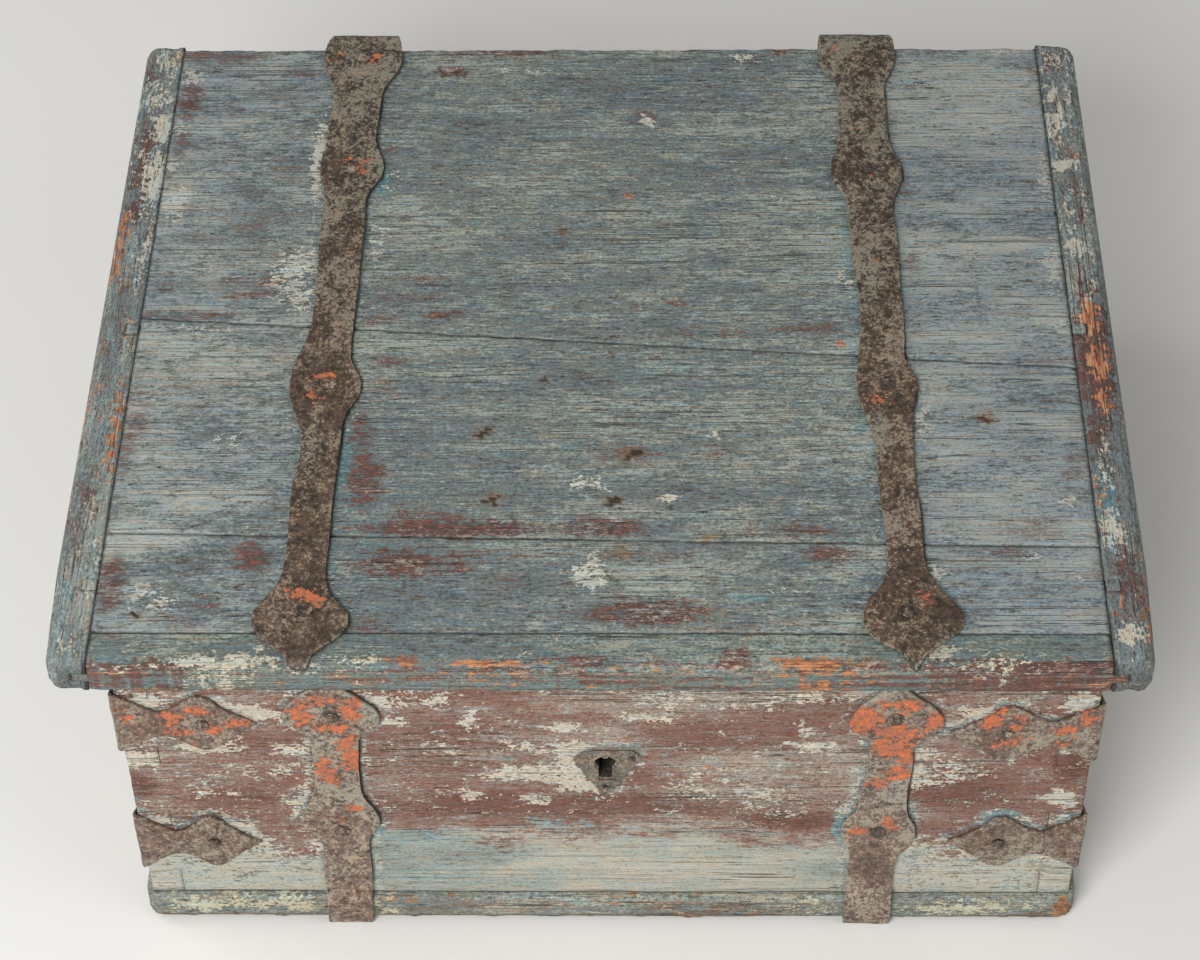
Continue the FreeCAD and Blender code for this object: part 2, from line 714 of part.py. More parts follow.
def side_strip(wall_y, plinth_y, top, outward):
    """Side profile of a strap: down the wall, out over the plinth, round and under the bottom."""
    jog_z = wall_z + size("front_plinth_jog")
    outer_plinth = plinth_y + outward * iron
    lap_y = plinth_y - outward * size("strap_lap")
    turn = iron * math.cos(math.pi / 4)
    bend = Part.Arc(
        Vector(0, outer_plinth, bottom_z),
        Vector(0, plinth_y + outward * turn, bottom_z - turn),
        Vector(0, plinth_y, floor_z),
    ).toShape()
    before = [
        Vector(0, plinth_y, floor_z), Vector(0, lap_y, floor_z), Vector(0, lap_y, bottom_z),
        Vector(0, plinth_y, bottom_z), Vector(0, plinth_y, wall_z), Vector(0, wall_y, jog_z),
        Vector(0, wall_y, top), Vector(0, wall_y + outward * iron, top),
        Vector(0, wall_y + outward * iron, jog_z), Vector(0, outer_plinth, wall_z),
        Vector(0, outer_plinth, bottom_z),
    ]
    return Part.Face(Part.Wire([bend] + Part.makePolygon(before).Edges))


def wall_strap(section, outline_shares, middle_of, width, low, high, span_y):
    """A strip of iron with a forged outline on the wall and straight edges under the bottom."""
    half_span = 2 * width
    centre = middle_of(0)
    section.translate(Vector(centre - half_span, 0, 0))
    blank = section.extrude(Vector(2 * half_span, 0, 0))
    left = []
    right = []
    for share, left_share, right_share in outline_shares:
        z = low + (high - low) * share
        left.append(Vector(middle_of(share) - left_share * width, 0, z))
        right.append(Vector(middle_of(share) + right_share * width, 0, z))
    start, depth = span_y
    mask = smooth_prism(left, right, Vector(0, start, 0), Vector(0, depth, 0))
    return blank.common(mask)


front_strap_nails = []
front_straps = {}
front_top = seat_z - size("front_strap_nib")
for side, shares in (("left", LEFT_FRONT_STRAP_SHARES), ("right", RIGHT_FRONT_STRAP_SHARES)):
    start_x = size(f"front_{side}_x")
    lean = size(f"front_{side}_lean")

    def front_middle(share):
        return start_x + lean * (1 - share)

    section = side_strip(body_front, plinth_front, front_top, -1)
    span_y = (plinth_front - 2 * iron, size("strap_lap") + 4 * iron)
    strap = wall_strap(
        section, shares, front_middle, size("front_strap_width"), floor_z, front_top, span_y
    )
    nails = []
    for share in FRONT_STRAP_NAIL_SHARES:
        tip = Vector(front_middle(share), body_front - iron, front_top * share)
        nails.append(big_nail(tip, BACK))
    front_straps[side] = strap.cut(Part.makeCompound(nails))
    front_strap_nails += nails

# Hinge leaves: the strap iron stands up the back wall to the two outer knuckles of each hinge.
BACK_STRAP_SHARES = (
    (1.000, 0.72), (0.985, 0.74), (0.955, 0.90), (0.925, 0.92), (0.890, 0.62), (0.850, 0.52),
    (0.700, 0.49), (0.560, 0.50), (0.480, 0.60), (0.440, 0.78), (0.405, 0.78), (0.365, 0.58),
    (0.320, 0.51), (0.200, 0.50), (0.000, 0.50),
)
BACK_STRAP_NAIL_SHARES = (0.935, 0.425)
back_strap_nails = []
back_straps = {}
leaf_top = hinge_z - eye_outer - size("knuckle_relief")
for side in ("left", "right"):
    start_x = size(f"{side}_strap_x")
    width = size("back_strap_width")
    section = side_strip(body_back, plinth_back, leaf_top, 1)
    span_y = (plinth_back - size("strap_lap") - 2 * iron, size("strap_lap") + 4 * iron)
    shares = [(share, half, half) for share, half in BACK_STRAP_SHARES]
    strap = wall_strap(section, shares, lambda share: start_x, width, floor_z, leaf_top, span_y)
    riser_foot = leaf_top - iron
    inner_end = size("middle_knuckle") / 2 + size("knuckle_gap")
    knuckle = size("eye_width") / 2 - inner_end
    for sign in (-1, 1):
        middle_x = start_x + sign * (inner_end + knuckle / 2)
        low_x = middle_x - knuckle / 2
        corner = Vector(low_x, body_back, riser_foot)
        riser = Part.makeBox(knuckle, iron, hinge_z - riser_foot, corner)
        bore = Part.makeCylinder(eye_inner, knuckle, hinge_point + Vector(low_x, 0, 0), RIGHT)
        strap = strap.fuse(riser).cut(bore).fuse(eye_ring(middle_x, knuckle))
    nails = []
    for share in BACK_STRAP_NAIL_SHARES:
        tip = Vector(start_x, body_back + iron, leaf_top * share)
        nails.append(big_nail(tip, Vector(0, -1, 0)))
    back_straps[side] = strap.cut(Part.makeCompound(nails))
    back_strap_nails += nails

# Corner irons: a bent strap at each corner, high and low, with a neck, a swell and a pointed tip.
# Each row holds the share of the leg's length from the corner, then the edges above and below
# the middle as shares of the iron's width.
CORNER_SHARES = (
    (0.000, 0.50, 0.50), (0.080, 0.42, 0.42), (0.200, 0.29, 0.29), (0.310, 0.21, 0.23),
    (0.400, 0.27, 0.27), (0.480, 0.38, 0.37), (0.570, 0.47, 0.46), (0.650, 0.45, 0.45),
    (0.740, 0.30, 0.33), (0.860, 0.15, 0.17), (0.950, 0.05, 0.06), (1.000, 0.01, 0.01),
)
CORNER_NAIL_SHARE = 0.60
CORNER_LEG_SHARES = {
    "upper_left": 0.98, "upper_right": 1.03, "lower_left": 0.88, "lower_right": 0.965,
}
corner_iron = size("corner_iron")
corner_leg = size("corner_leg")
corner_width = size("corner_width")


def corner_strap(sign_x, sign_y, middle_z, leg_share):
    """An L of iron round one corner of the body, and its two nails."""
    wall_x = body_left if sign_x < 0 else body_right
    wall_y = body_front if sign_y < 0 else body_back
    corner = Vector(wall_x, wall_y, middle_z)
    leg = corner_leg * leg_share
    height = Vector(0, 0, corner_width)
    low_z = middle_z - corner_width / 2
    outer_x = corner.x + sign_x * corner_iron
    outer_y = corner.y + sign_y * corner_iron
    far_x = corner.x - sign_x * leg
    far_y = corner.y - sign_y * leg
    turn = corner_iron * math.cos(math.pi / 4)
    elbow = Part.Arc(
        Vector(corner.x, outer_y, low_z),
        Vector(corner.x + sign_x * turn, corner.y + sign_y * turn, low_z),
        Vector(outer_x, corner.y, low_z),
    ).toShape()
    walk = [
        Vector(outer_x, corner.y, low_z), Vector(outer_x, far_y, low_z),
        Vector(corner.x, far_y, low_z), Vector(corner.x, corner.y, low_z),
        Vector(far_x, corner.y, low_z), Vector(far_x, outer_y, low_z),
        Vector(corner.x, outer_y, low_z),
    ]
    angle = Part.Face(Part.Wire([elbow] + Part.makePolygon(walk).Edges)).extrude(height)
    masks = []
    for run, across in (
        (Vector(-sign_x, 0, 0), Vector(0, sign_y, 0)),
        (Vector(0, -sign_y, 0), Vector(sign_x, 0, 0)),
    ):
        above = [
            corner + run * (leg * share) + UP * (up * corner_width)
            for share, up, down in CORNER_SHARES
        ]
        below = [
            corner + run * (leg * share) - UP * (down * corner_width)
            for share, up, down in CORNER_SHARES
        ]
        masks.append(smooth_prism(above, below, Vector(0, 0, 0), across * (2 * corner_iron)))
    far = corner + Vector(sign_x, sign_y, 0) * (2 * corner_iron)
    elbow_block = Part.makeBox(
        2 * corner_iron, 2 * corner_iron, corner_width,
        Vector(min(corner.x, far.x), min(corner.y, far.y), low_z),
    )
    iron_shape = angle.common(masks[0].fuse([masks[1], elbow_block]))
    reach = leg * CORNER_NAIL_SHARE
    nails = [
        big_nail(Vector(corner.x - sign_x * reach, outer_y, middle_z), Vector(0, -sign_y, 0)),
        big_nail(Vector(outer_x, corner.y - sign_y * reach, middle_z), Vector(-sign_x, 0, 0)),
    ]
    return iron_shape.cut(Part.makeCompound(nails)), nails


corner_nails = []
corner_straps = {}
for depth_name, sign_y in (("front", -1), ("back", 1)):
    for side, sign_x in (("left", -1), ("right", 1)):
        for level in ("upper", "lower"):
            leg_share = CORNER_LEG_SHARES[f"{level}_{side}"]
            shape, nails = corner_strap(sign_x, sign_y, size(f"{level}_{side}_iron_z"), leg_share)
            corner_straps[f"corner_strap_{depth_name}_{side}_{level}"] = shape
            corner_nails += nails

# Escutcheon: a small plate like a triangle on its point, with clipped corners and three nails.
ESCUTCHEON_SHARES = (
    (-0.31, 0.26), (0.38, 0.29), (0.53, 0.13), (0.05, -0.72), (-0.05, -0.72), (-0.47, 0.085),
)
ESCUTCHEON_NAIL_SHARES = ((-0.285, 0.087), (0.376, 0.113), (0.00, -0.515))
keyhole_x = size("keyhole_x")
keyhole_z = size("keyhole_z")
plate_y = body_front - size("escutcheon_thickness")


def keyhole_tool(start_y, depth):
    """A round hole with a slot below it, cut from front to back."""
    radius = size("keyhole_radius")
    slot = size("keyhole_slot_width")
    drop = size("keyhole_slot_drop")
    disc = Part.makeCylinder(radius, depth, Vector(keyhole_x, start_y, keyhole_z), BACK)
    leg = Part.makeBox(slot, depth, drop, Vector(keyhole_x - slot / 2, start_y, keyhole_z - drop))
    return disc.fuse(leg)


def escutcheon_point(across_share, up_share, y):
    """A point of the plate by shares of its width and height."""
    x = keyhole_x + across_share * size("escutcheon_width")
    return Vector(x, y, keyhole_z + up_share * size("escutcheon_height"))


plate_ring = [escutcheon_point(a, u, plate_y) for a, u in ESCUTCHEON_SHARES]
plate = Part.Face(Part.makePolygon(plate_ring + plate_ring[:1]))
plate = plate.extrude(Vector(0, size("escutcheon_thickness"), 0))
escutcheon_nails = [
    small_nail(escutcheon_point(a, u, plate_y), BACK) for a, u in ESCUTCHEON_NAIL_SHARES
]
overrun = size("overrun")
key_depth = size("wall_thickness") + size("lock_plate_thickness") + 2 * overrun
key_tool = keyhole_tool(plate_y - overrun, key_depth)
escutcheon = plate.cut(key_tool).cut(Part.makeCompound(escutcheon_nails))

# Lock: a plate on the inside of the front board carries bolt guides, the case covers the works.
plate_thickness = size("lock_plate_thickness")
plate_inner = inner_front + plate_thickness
plate_half = size("lock_plate_width") / 2
case_back = inner_front + size("case_depth")
case_half = size("case_width") / 2
case_foot = keyhole_z - size("case_drop")
case_top = seat_z - size("case_headroom")
case_wall = size("case_wall")
staple_y = inner_front + size("staple_y")
staple_gap = size("staple_gap")
staple_half = staple_gap / 2 + size("staple_leg")
staple_half_x = size("staple_thickness") / 2
bolt_top = seat_z - size("bolt_drop")
bolt_foot = bolt_top - size("bolt_height")
bolt_half = size("bolt_thickness") / 2
bolt_nose = keyhole_x - staple_half_x - size("bolt_rest_gap")
bolt_end = bolt_nose - size("bolt_length")


def block(low, high):
    """A box between two corners."""
    span = high - low
    return Part.makeBox(span.x, span.y, span.z, low)


lock_plate = block(
    Vector(keyhole_x - plate_half, inner_front, keyhole_z - size("lock_plate_drop")),
    Vector(keyhole_x + plate_half, plate_inner, seat_z - size("lock_plate_margin")),
)
guide_thickness = size("guide_thickness")
guide_wall = size("guide_wall")
play = size("bolt_play")
first_guide = bolt_end + size("bolt_travel") + play
guide_starts = (first_guide, first_guide + size("guide_spacing"))
window = block(
    Vector(bolt_end - overrun, staple_y - bolt_half - play, bolt_foot - play),
    Vector(bolt_nose + overrun, staple_y + bolt_half + play, bolt_top + play),
)
for start in guide_starts:
    guide = block(
        Vector(start, plate_inner, bolt_foot - guide_wall),
        Vector(start + guide_thickness, case_back - case_wall, bolt_top + guide_wall),
    )
    lock_plate = lock_plate.fuse(guide.cut(window))
lock_plate = lock_plate.cut(key_tool)

case_outer = block(
    Vector(keyhole_x - case_half, plate_inner, case_foot),
    Vector(keyhole_x + case_half, case_back, case_top),
)
case_room = block(
    Vector(keyhole_x - case_half + case_wall, plate_inner, case_foot + case_wall),
    Vector(keyhole_x + case_half - case_wall, case_back - case_wall, case_top - case_wall),
)
staple_room = size("staple_clearance")
staple_middle = Vector(keyhole_x, staple_y, case_top)
slot_reach = Vector(staple_half_x + staple_room, staple_half + staple_room, overrun)
lock_case = case_outer.cut(case_room).cut(block(staple_middle - slot_reach, staple_middle + slot_reach))
drill_length = case_back - (body_front + size("drill_pin_setback"))
drill_start = Vector(keyhole_x, body_front + size("drill_pin_setback"), keyhole_z)
drill_pin = Part.makeCylinder(size("drill_pin_radius"), drill_length, drill_start, BACK)
lock_case = lock_case.cut(drill_pin)

# Ward: a half ring under the drill pin that only the right key passes.
ward_start = Vector(keyhole_x, case_back - case_wall - size("ward_depth"), keyhole_z)
ward_ring = Part.makeCylinder(size("ward_radius"), size("ward_depth"), ward_start, BACK)
ward_ring = ward_ring.cut(
    Part.makeCylinder(size("ward_radius") - size("ward_thickness"), size("ward_depth"), ward_start, BACK)
)
ward_reach = 2 * size("ward_radius")
lock_ward = ward_ring.cut(
    block(
        ward_start + Vector(-ward_reach, -ward_reach, 0),
        ward_start + Vector(ward_reach, ward_reach, ward_reach),
    )
)

# Bolt: a bar with a tail beside the staple and a toe on it that the key's bit pushes.
tail_right = bolt_nose - size("bolt_tail_offset")
bolt = block(
    Vector(bolt_end, staple_y - bolt_half, bolt_foot),
    Vector(bolt_nose, staple_y + bolt_half, bolt_top),
)
tail_foot = keyhole_z + size("bolt_tail_clearance")
tail = block(
    Vector(tail_right - size("bolt_tail_width"), staple_y - bolt_half, tail_foot),
    Vector(tail_right, staple_y + bolt_half, bolt_foot),
)
toe = block(
    Vector(tail_right, staple_y - bolt_half, tail_foot),
    Vector(
        tail_right + size("bolt_toe_reach"), staple_y + bolt_half, tail_foot + size("bolt_toe_height")
    ),
)
lock_bolt = bolt.fuse([tail, toe]).removeSplitter()

# Spring: a bowed leaf between the case's top and the bolt, which holds the bolt by friction.
spring_thickness = size("spring_thickness")
spring_end_x = bolt_nose
spring_start_x = spring_end_x - size("spring_length")
spring_low = bolt_top + play
spring_high = case_top - case_wall - spring_thickness
spring_y = staple_y - size("spring_width") / 2
spring_mid_x = (spring_start_x + spring_end_x) / 2
lower_arc = (
    Vector(spring_start_x, spring_y, spring_low),
    Vector(spring_mid_x, spring_y, spring_high),
    Vector(spring_end_x, spring_y, spring_low),
)
upper_arc = [point + Vector(0, 0, spring_thickness) for point in lower_arc]
spring_edges = [
    Part.Arc(*lower_arc).toShape(),
    Part.LineSegment(lower_arc[2], upper_arc[2]).toShape(),
    Part.Arc(*upper_arc[::-1]).toShape(),
    Part.LineSegment(upper_arc[0], lower_arc[0]).toShape(),
]
lock_spring = Part.Face(Part.Wire(spring_edges)).extrude(Vector(0, size("spring_width"), 0))

# Lock nails at the plate's corners, clear of the case.
lock_nails = []
nail_column = (plate_half + case_half) / 2
for sign in (-1, 1):
    for z in (case_foot, case_top - size("lock_plate_margin")):
        tip = Vector(keyhole_x + sign * nail_column, plate_inner, z)
        lock_nails.append(small_nail(tip, Vector(0, -1, 0)))
lock_plate = lock_plate.cut(Part.makeCompound(lock_nails))

# Staple: a loop under the lid that drops into the case, on a small plate.
staple_base = seat_z - size("staple_plate_thickness")
staple_plate_half = Vector(size("staple_plate_length") / 2, size("staple_plate_width") / 2, 0)
staple_plate = block(
    Vector(keyhole_x, staple_y, staple_base) - staple_plate_half,
    Vector(keyhole_x, staple_y, seat_z) + staple_plate_half,
)
staple_foot = seat_z - size("staple_length")
staple_outer = block(
    Vector(keyhole_x - staple_half_x, staple_y - staple_half, staple_foot),
    Vector(keyhole_x + staple_half_x, staple_y + staple_half, staple_base),
)
staple_hole = block(
    Vector(keyhole_x - staple_half_x, staple_y - staple_gap / 2, staple_foot + size("staple_leg")),
    Vector(keyhole_x + staple_half_x, staple_y + staple_gap / 2, staple_base),
)
lock_staple = staple_plate.fuse(staple_outer.cut(staple_hole))
staple_nails = []
nail_out = size("staple_plate_length") / 2 - size("small_head_radius") * 2
for sign in (-1, 1):
    tip = Vector(keyhole_x + sign * nail_out, staple_y, staple_base)
    staple_nails.append(small_nail(tip, UP))
lock_staple = lock_staple.cut(Part.makeCompound(staple_nails))

# Handles: on each end a bail hangs in two forged eyes, each driven through a round plate.
handle_z = size("handle_z")
half_span = size("handle_half_span")
wire_radius = size("eye_wire_radius")
bail_radius = size("bail_radius")
ring_radius = bail_radius + size("bail_play") + wire_radius
handle_x = body_side + size("handle_plate_thickness") + ring_radius + wire_radius
handle_y = (body_front + body_back) / 2
handle_eyes = []
handle_plates = []
bails = {}
for side, sign in (("left", -1), ("right", 1)):
    for end in (-1, 1):
        centre = Vector(body_middle + sign * handle_x, handle_y + end * half_span, handle_z)
        ring = Part.makeTorus(ring_radius, wire_radius, centre, BACK)
        shank_length = handle_x - ring_radius - body_side + size("eye_shank_length")
        foot = centre - RIGHT * (sign * ring_radius)
        shank = Part.makeCylinder(wire_radius, shank_length, foot, RIGHT * -sign)
        bore_start = centre - BACK * ring_radius
        bore = Part.makeCylinder(ring_radius - wire_radius, 2 * ring_radius, bore_start, BACK)
        handle_eyes.append(ring.fuse(shank.cut(bore)))
        seat = Vector(body_middle + sign * body_side, centre.y, centre.z)
        disc = Part.makeCylinder(
            size("handle_plate_radius"), size("handle_plate_thickness"), seat, RIGHT * sign
        )
        handle_plates.append(disc)
    neck_y = half_span - size("handle_inset")
    turns = (
        (Vector(0, -half_span - size("handle_tip"), 0), 0),
        (Vector(0, -neck_y, 0), size("bail_neck_bend")),
        (Vector(0, -neck_y, -size("handle_drop")), size("bail_bend")),
        (Vector(0, neck_y, -size("handle_drop")), size("bail_bend")),
        (Vector(0, neck_y, 0), size("bail_neck_bend")),
        (Vector(0, half_span + size("handle_tip"), 0), 0),
    )
    origin = Vector(body_middle + sign * handle_x, handle_y, handle_z)
    edges = []
    last = origin + turns[0][0]
    for index in range(1, len(turns) - 1):
        corner, radius = turns[index]
        before = (turns[index - 1][0] - corner).normalize()
        after = (turns[index + 1][0] - corner).normalize()
        entry = origin + corner + before * radius
        leave = origin + corner + after * radius
        pivot = origin + corner + (before + after) * radius
        crown = pivot - (before + after).normalize() * radius
        edges.append(Part.LineSegment(last, entry).toShape())
        edges.append(Part.Arc(entry, crown, leave).toShape())
        last = leave
    edges.append(Part.LineSegment(last, origin + turns[-1][0]).toShape())
    profile = Part.Wire(Part.makeCircle(bail_radius, origin + turns[0][0], BACK))
    bails[side] = Part.Wire(edges).makePipeShell([profile], True, False)
handle_eye_shape = Part.makeCompound(handle_eyes)
handle_plate_shape = Part.makeCompound([disc.cut(handle_eye_shape) for disc in handle_plates])

# Bottom nails go up through the bottom boards into the walls.
BOTTOM_NAIL_SHARES = (0.08, 0.36, 0.64, 0.92)
bottom_nails = []
for y in (body_front + size("bottom_nail_inset"), body_back - size("bottom_nail_inset")):
    for share in BOTTOM_NAIL_SHARES:
        x = body_left + size("body_length") * share
        bottom_nails.append((x, y))
for x in (body_left + size("bottom_nail_inset"), body_right - size("bottom_nail_inset")):
    for number in range(len(BOTTOM_BOARDS)):
        low = getattr(places, f"bottom_low_{number}")
        high = getattr(places, f"bottom_high_{number}")
        bottom_nails.append((x, (low + high) / 2))
bottom_nails = [
    forged_nail(
        Vector(x, y, bottom_z), UP, size("small_head_radius"), size("small_head_height"),
        size("small_shank"), size("bottom_nail_length"),
    )
    for x, y in bottom_nails
]

# Holes for everything driven into the wood.
wall_holes = doc.addObject("Part::Feature", "wall_holes")
wall_holes.Shape = Part.makeCompound(
    front_strap_nails + back_strap_nails + corner_nails + escutcheon_nails
    + lock_nails + handle_eyes + bottom_nails + [key_tool]
)
lid_holes = doc.addObject("Part::Feature", "lid_holes")
lid_holes.Shape = Part.makeCompound(lid_strap_nails + staple_nails + pegs)

sub_part("front_board", cut_object("front_board", front_blank, wall_holes))
sub_part("back_board", cut_object("back_board", back_blank, wall_holes))
sub_part("left_side_board", cut_object("left_side_board", side_blanks["left"], wall_holes))
sub_part("right_side_board", cut_object("right_side_board", side_blanks["right"], wall_holes))
for position, blank in bottom_blanks.items():
    label = f"bottom_board_{position}"
    sub_part(label, cut_object(label, blank, wall_holes))
for side in ("left", "right"):
    solid_feature(f"front_strap_{side}", front_straps[side])
    solid_feature(f"back_strap_{side}", back_straps[side])
    pin = doc.addObject("Part::Cylinder", f"hinge_pin_{side}")
    pin.setExpression("Radius", "sizes.hinge_pin_radius")
    pin.setExpression("Height", "sizes.eye_width + 2 * sizes.hinge_pin_end")
    pin.Placement = FreeCAD.Placement(Vector(0, 0, 0), FreeCAD.Rotation(UP, RIGHT))
    pin.setExpression(
        "Placement.Base.x", f"sizes.{side}_strap_x - sizes.eye_width / 2 - sizes.hinge_pin_end"
    )
    pin.setExpression("Placement.Base.y", "places.hinge_y")
    pin.setExpression("Placement.Base.z", "places.hinge_z")
    sub_part(f"hinge_pin_{side}", pin)
for label, shape in corner_straps.items():
    solid_feature(label, shape)
solid_feature("escutcheon", escutcheon)
solid_feature("lock_plate", lock_plate)
solid_feature("lock_case", lock_case)
solid_feature("lock_ward", lock_ward)
solid_feature("lock_spring", lock_spring)
solid_feature("drill_pin", drill_pin)
solid_feature("front_strap_nails", Part.makeCompound(front_strap_nails))
solid_feature("back_strap_nails", Part.makeCompound(back_strap_nails))
solid_feature("corner_strap_nails", Part.makeCompound(corner_nails))
solid_feature("escutcheon_nails", Part.makeCompound(escutcheon_nails))
solid_feature("lock_nails", Part.makeCompound(lock_nails))
solid_feature("bottom_nails", Part.makeCompound(bottom_nails))
solid_feature("handle_eyes", handle_eye_shape)
solid_feature("handle_plates", handle_plate_shape)
solid_feature("lock_bolt", lock_bolt)
solid_feature("handle_bail_left", bails["left"])
solid_feature("handle_bail_right", bails["right"])

sub_part("lid_board_back", cut_object("lid_board_back", plank_back, lid_holes))
sub_part("lid_board_middle", cut_object("lid_board_middle", plank_middle, lid_holes))
sub_part("lid_board_front", cut_object("lid_board_front", plank_front, lid_holes))
sub_part("lid_nosing", cut_object("lid_nosing", nosing_blank, lid_holes))
sub_part("lid_cleat_left", cut_object("lid_cleat_left", cleat_blanks["left"], lid_holes))
sub_part("lid_cleat_right", cut_object("lid_cleat_right", cleat_blanks["right"], lid_holes))
solid_feature("lid_cleat_pegs", peg_shape)
solid_feature("lid_strap_left", lid_straps["left"])
solid_feature("lid_strap_right", lid_straps["right"])
solid_feature("lid_strap_nails", Part.makeCompound(lid_strap_nails))
solid_feature("lock_staple", lock_staple)
solid_feature("staple_nails", Part.makeCompound(staple_nails))

doc.recompute()
faults = [item.Name for item in doc.Objects if {"Invalid", "Error"} & set(item.State)]
for label, item in nodes.items():
    shape = item.Shape
    if shape.isNull() or not shape.isValid() or not shape.Solids:
        faults.append(label)
if faults:
    raise RuntimeError("failed pieces: " + ", ".join(faults))
for label, item in nodes.items():
    item.Shape.exportStep(f"parts/{label}.step")
print(len(nodes), "pieces written")
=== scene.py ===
import bpy
import math
import numpy as np
from mathutils import Matrix, Vector
from mathutils.bvhtree import BVHTree


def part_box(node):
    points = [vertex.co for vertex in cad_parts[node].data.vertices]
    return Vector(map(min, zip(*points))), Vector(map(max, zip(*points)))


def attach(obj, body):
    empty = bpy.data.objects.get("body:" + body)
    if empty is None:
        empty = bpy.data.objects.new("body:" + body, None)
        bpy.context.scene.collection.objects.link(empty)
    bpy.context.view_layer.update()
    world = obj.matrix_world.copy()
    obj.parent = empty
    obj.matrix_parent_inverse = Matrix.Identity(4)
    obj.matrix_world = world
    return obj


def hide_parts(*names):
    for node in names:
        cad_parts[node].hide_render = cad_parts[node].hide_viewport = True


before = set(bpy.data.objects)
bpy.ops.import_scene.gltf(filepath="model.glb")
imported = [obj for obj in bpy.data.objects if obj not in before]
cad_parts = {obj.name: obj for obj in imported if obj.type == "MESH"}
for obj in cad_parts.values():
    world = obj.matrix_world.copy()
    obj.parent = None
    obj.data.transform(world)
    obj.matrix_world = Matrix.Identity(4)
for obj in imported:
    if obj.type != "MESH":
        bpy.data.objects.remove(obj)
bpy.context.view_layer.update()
bpy.ops.object.select_all(action="DESELECT")

# Bottom: three pine boards laid left to right and nailed up into the walls. Their edges
# stand out as a low plinth, painted grey-blue over red-brown and chipped along the top.
MM = 0.001


def tint(red, green, blue):
    """A colour as the eye reads it, from 0 to 255, for a shader."""
    steps = [channel / 255 for channel in (red, green, blue)]
    return tuple(s / 12.92 if s <= 0.04045 else ((s + 0.055) / 1.055) ** 2.4 for s in steps) + (1.0,)


def add_node(tree, kind, sockets=None, **settings):
    """A shader node with its settings, and its sockets set or linked."""
    node = tree.nodes.new("ShaderNode" + kind)
    for name, value in settings.items():
        setattr(node, name, value)
    for name, value in (sockets or {}).items():
        if isinstance(value, bpy.types.NodeSocket):
            tree.links.new(value, node.inputs[name])
        else:
            node.inputs[name].default_value = value
    return node


def sums(tree, *terms, start=0.0):
    """The sum of a number and sockets, each with its weight."""
    total = start
    for socket, weight in terms:
        node = add_node(tree, "Math", {0: socket, 1: weight, 2: total}, operation="MULTIPLY_ADD")
        total = node.outputs[0]
    return total


def times(tree, first, second):
    """The product of two values."""
    return add_node(tree, "Math", {0: first, 1: second}, operation="MULTIPLY").outputs[0]


def step_up(tree, value, start, width):
    """0 below start, 1 above start plus width, and smooth between."""
    sockets = {"Value": value, "From Min": start, "From Max": start + width}
    node = add_node(tree, "MapRange", sockets, interpolation_type="SMOOTHSTEP")
    return node.outputs["Result"]


def blend(tree, share, under, over):
    """Two colours mixed by a share."""
    return add_node(tree, "Mix", {0: share, 6: under, 7: over}, data_type="RGBA").outputs[2]


def noise(tree, point, scale, detail, roughness, distortion=0.0):
    """A noise stretched by its three scales, in features per metre."""
    stretched = add_node(tree, "VectorMath", {0: point, 1: scale}, operation="MULTIPLY").outputs[0]
    sockets = {"Vector": stretched, "Scale": 1.0, "Detail": detail, "Roughness": roughness,
               "Distortion": distortion}
    return add_node(tree, "TexNoise", sockets).outputs["Fac"]


def shader_group(name, inputs, outputs):
    """An empty node group with named inputs and outputs."""
    tree = bpy.data.node_groups.new(name, "ShaderNodeTree")
    for label, kind, value in inputs:
        socket = tree.interface.new_socket(name=label, in_out="INPUT", socket_type="NodeSocket" + kind)
        if value is not None:
            socket.default_value = value
    for label, kind in outputs:
        tree.interface.new_socket(name=label, in_out="OUTPUT", socket_type="NodeSocket" + kind)
    return tree, tree.nodes.new("NodeGroupInput").outputs, tree.nodes.new("NodeGroupOutput").inputs


# The paint runs along the grain, which lies along the first axis of the point that comes in.
# Every wood material gives these colours, and the layers are laid on its mesh.
WOOD_COLOURS = ("Coat", "Coat Dark", "Coat Green", "Pale", "Teal", "Under", "Under Dark", "Wood",
                "Flake", "Raw", "Raw Dark")
WOOD_LAYERS = ("Worn", "Cream", "Bare", "Teals", "Grime", "Unpainted", "Dry", "Second")
paint, given, gives = shader_group(
    "weathered paint",
    [("Vector", "Vector", None)]
    + [(label, "Color", None) for label in WOOD_COLOURS]
    + [(label, "Float", 0.0) for label in WOOD_LAYERS]
    + [("Second Coat", "Color", tint(160, 166, 154)), ("Warm Cast", "Color", (1.16, 0.98, 0.87, 1.0)),
       ("Cool Cast", "Color", (0.86, 1.0, 1.15, 1.0))],
    [("Color", "Color"), ("Roughness", "Float"), ("Height", "Float")],
)
DARK_CRACK = tint(46, 40, 38)
OLD_DIRT_AND_SHADE = tint(38, 33, 30)
point = given["Vector"]
dash = noise(paint, point, (90.0, 600.0, 600.0), 3.0, 0.65, 0.2)
hair = noise(paint, point, (20.0, 820.0, 820.0), 2.0, 0.6)
grit = noise(paint, point, (430.0, 580.0, 580.0), 2.0, 0.85)
speck = noise(paint, point, (230.0, 480.0, 480.0), 3.0, 0.7)
flake = noise(paint, point, (90.0, 170.0, 170.0), 6.0, 0.72, 0.3)
drift = noise(paint, point, (15.0, 52.0, 52.0), 5.0, 0.62)
cloud = noise(paint, point, (5.0, 12.0, 12.0), 3.0, 0.55)
line = noise(paint, point, (4.0, 300.0, 300.0), 1.0, 0.4)
stain = noise(paint, point, (42.0, 290.0, 290.0), 5.0, 0.75)
tone = sums(paint, (dash, 0.5), (grit, 0.35), (speck, 0.25), (drift, 0.55), (flake, 0.4),
            (cloud, 0.3))
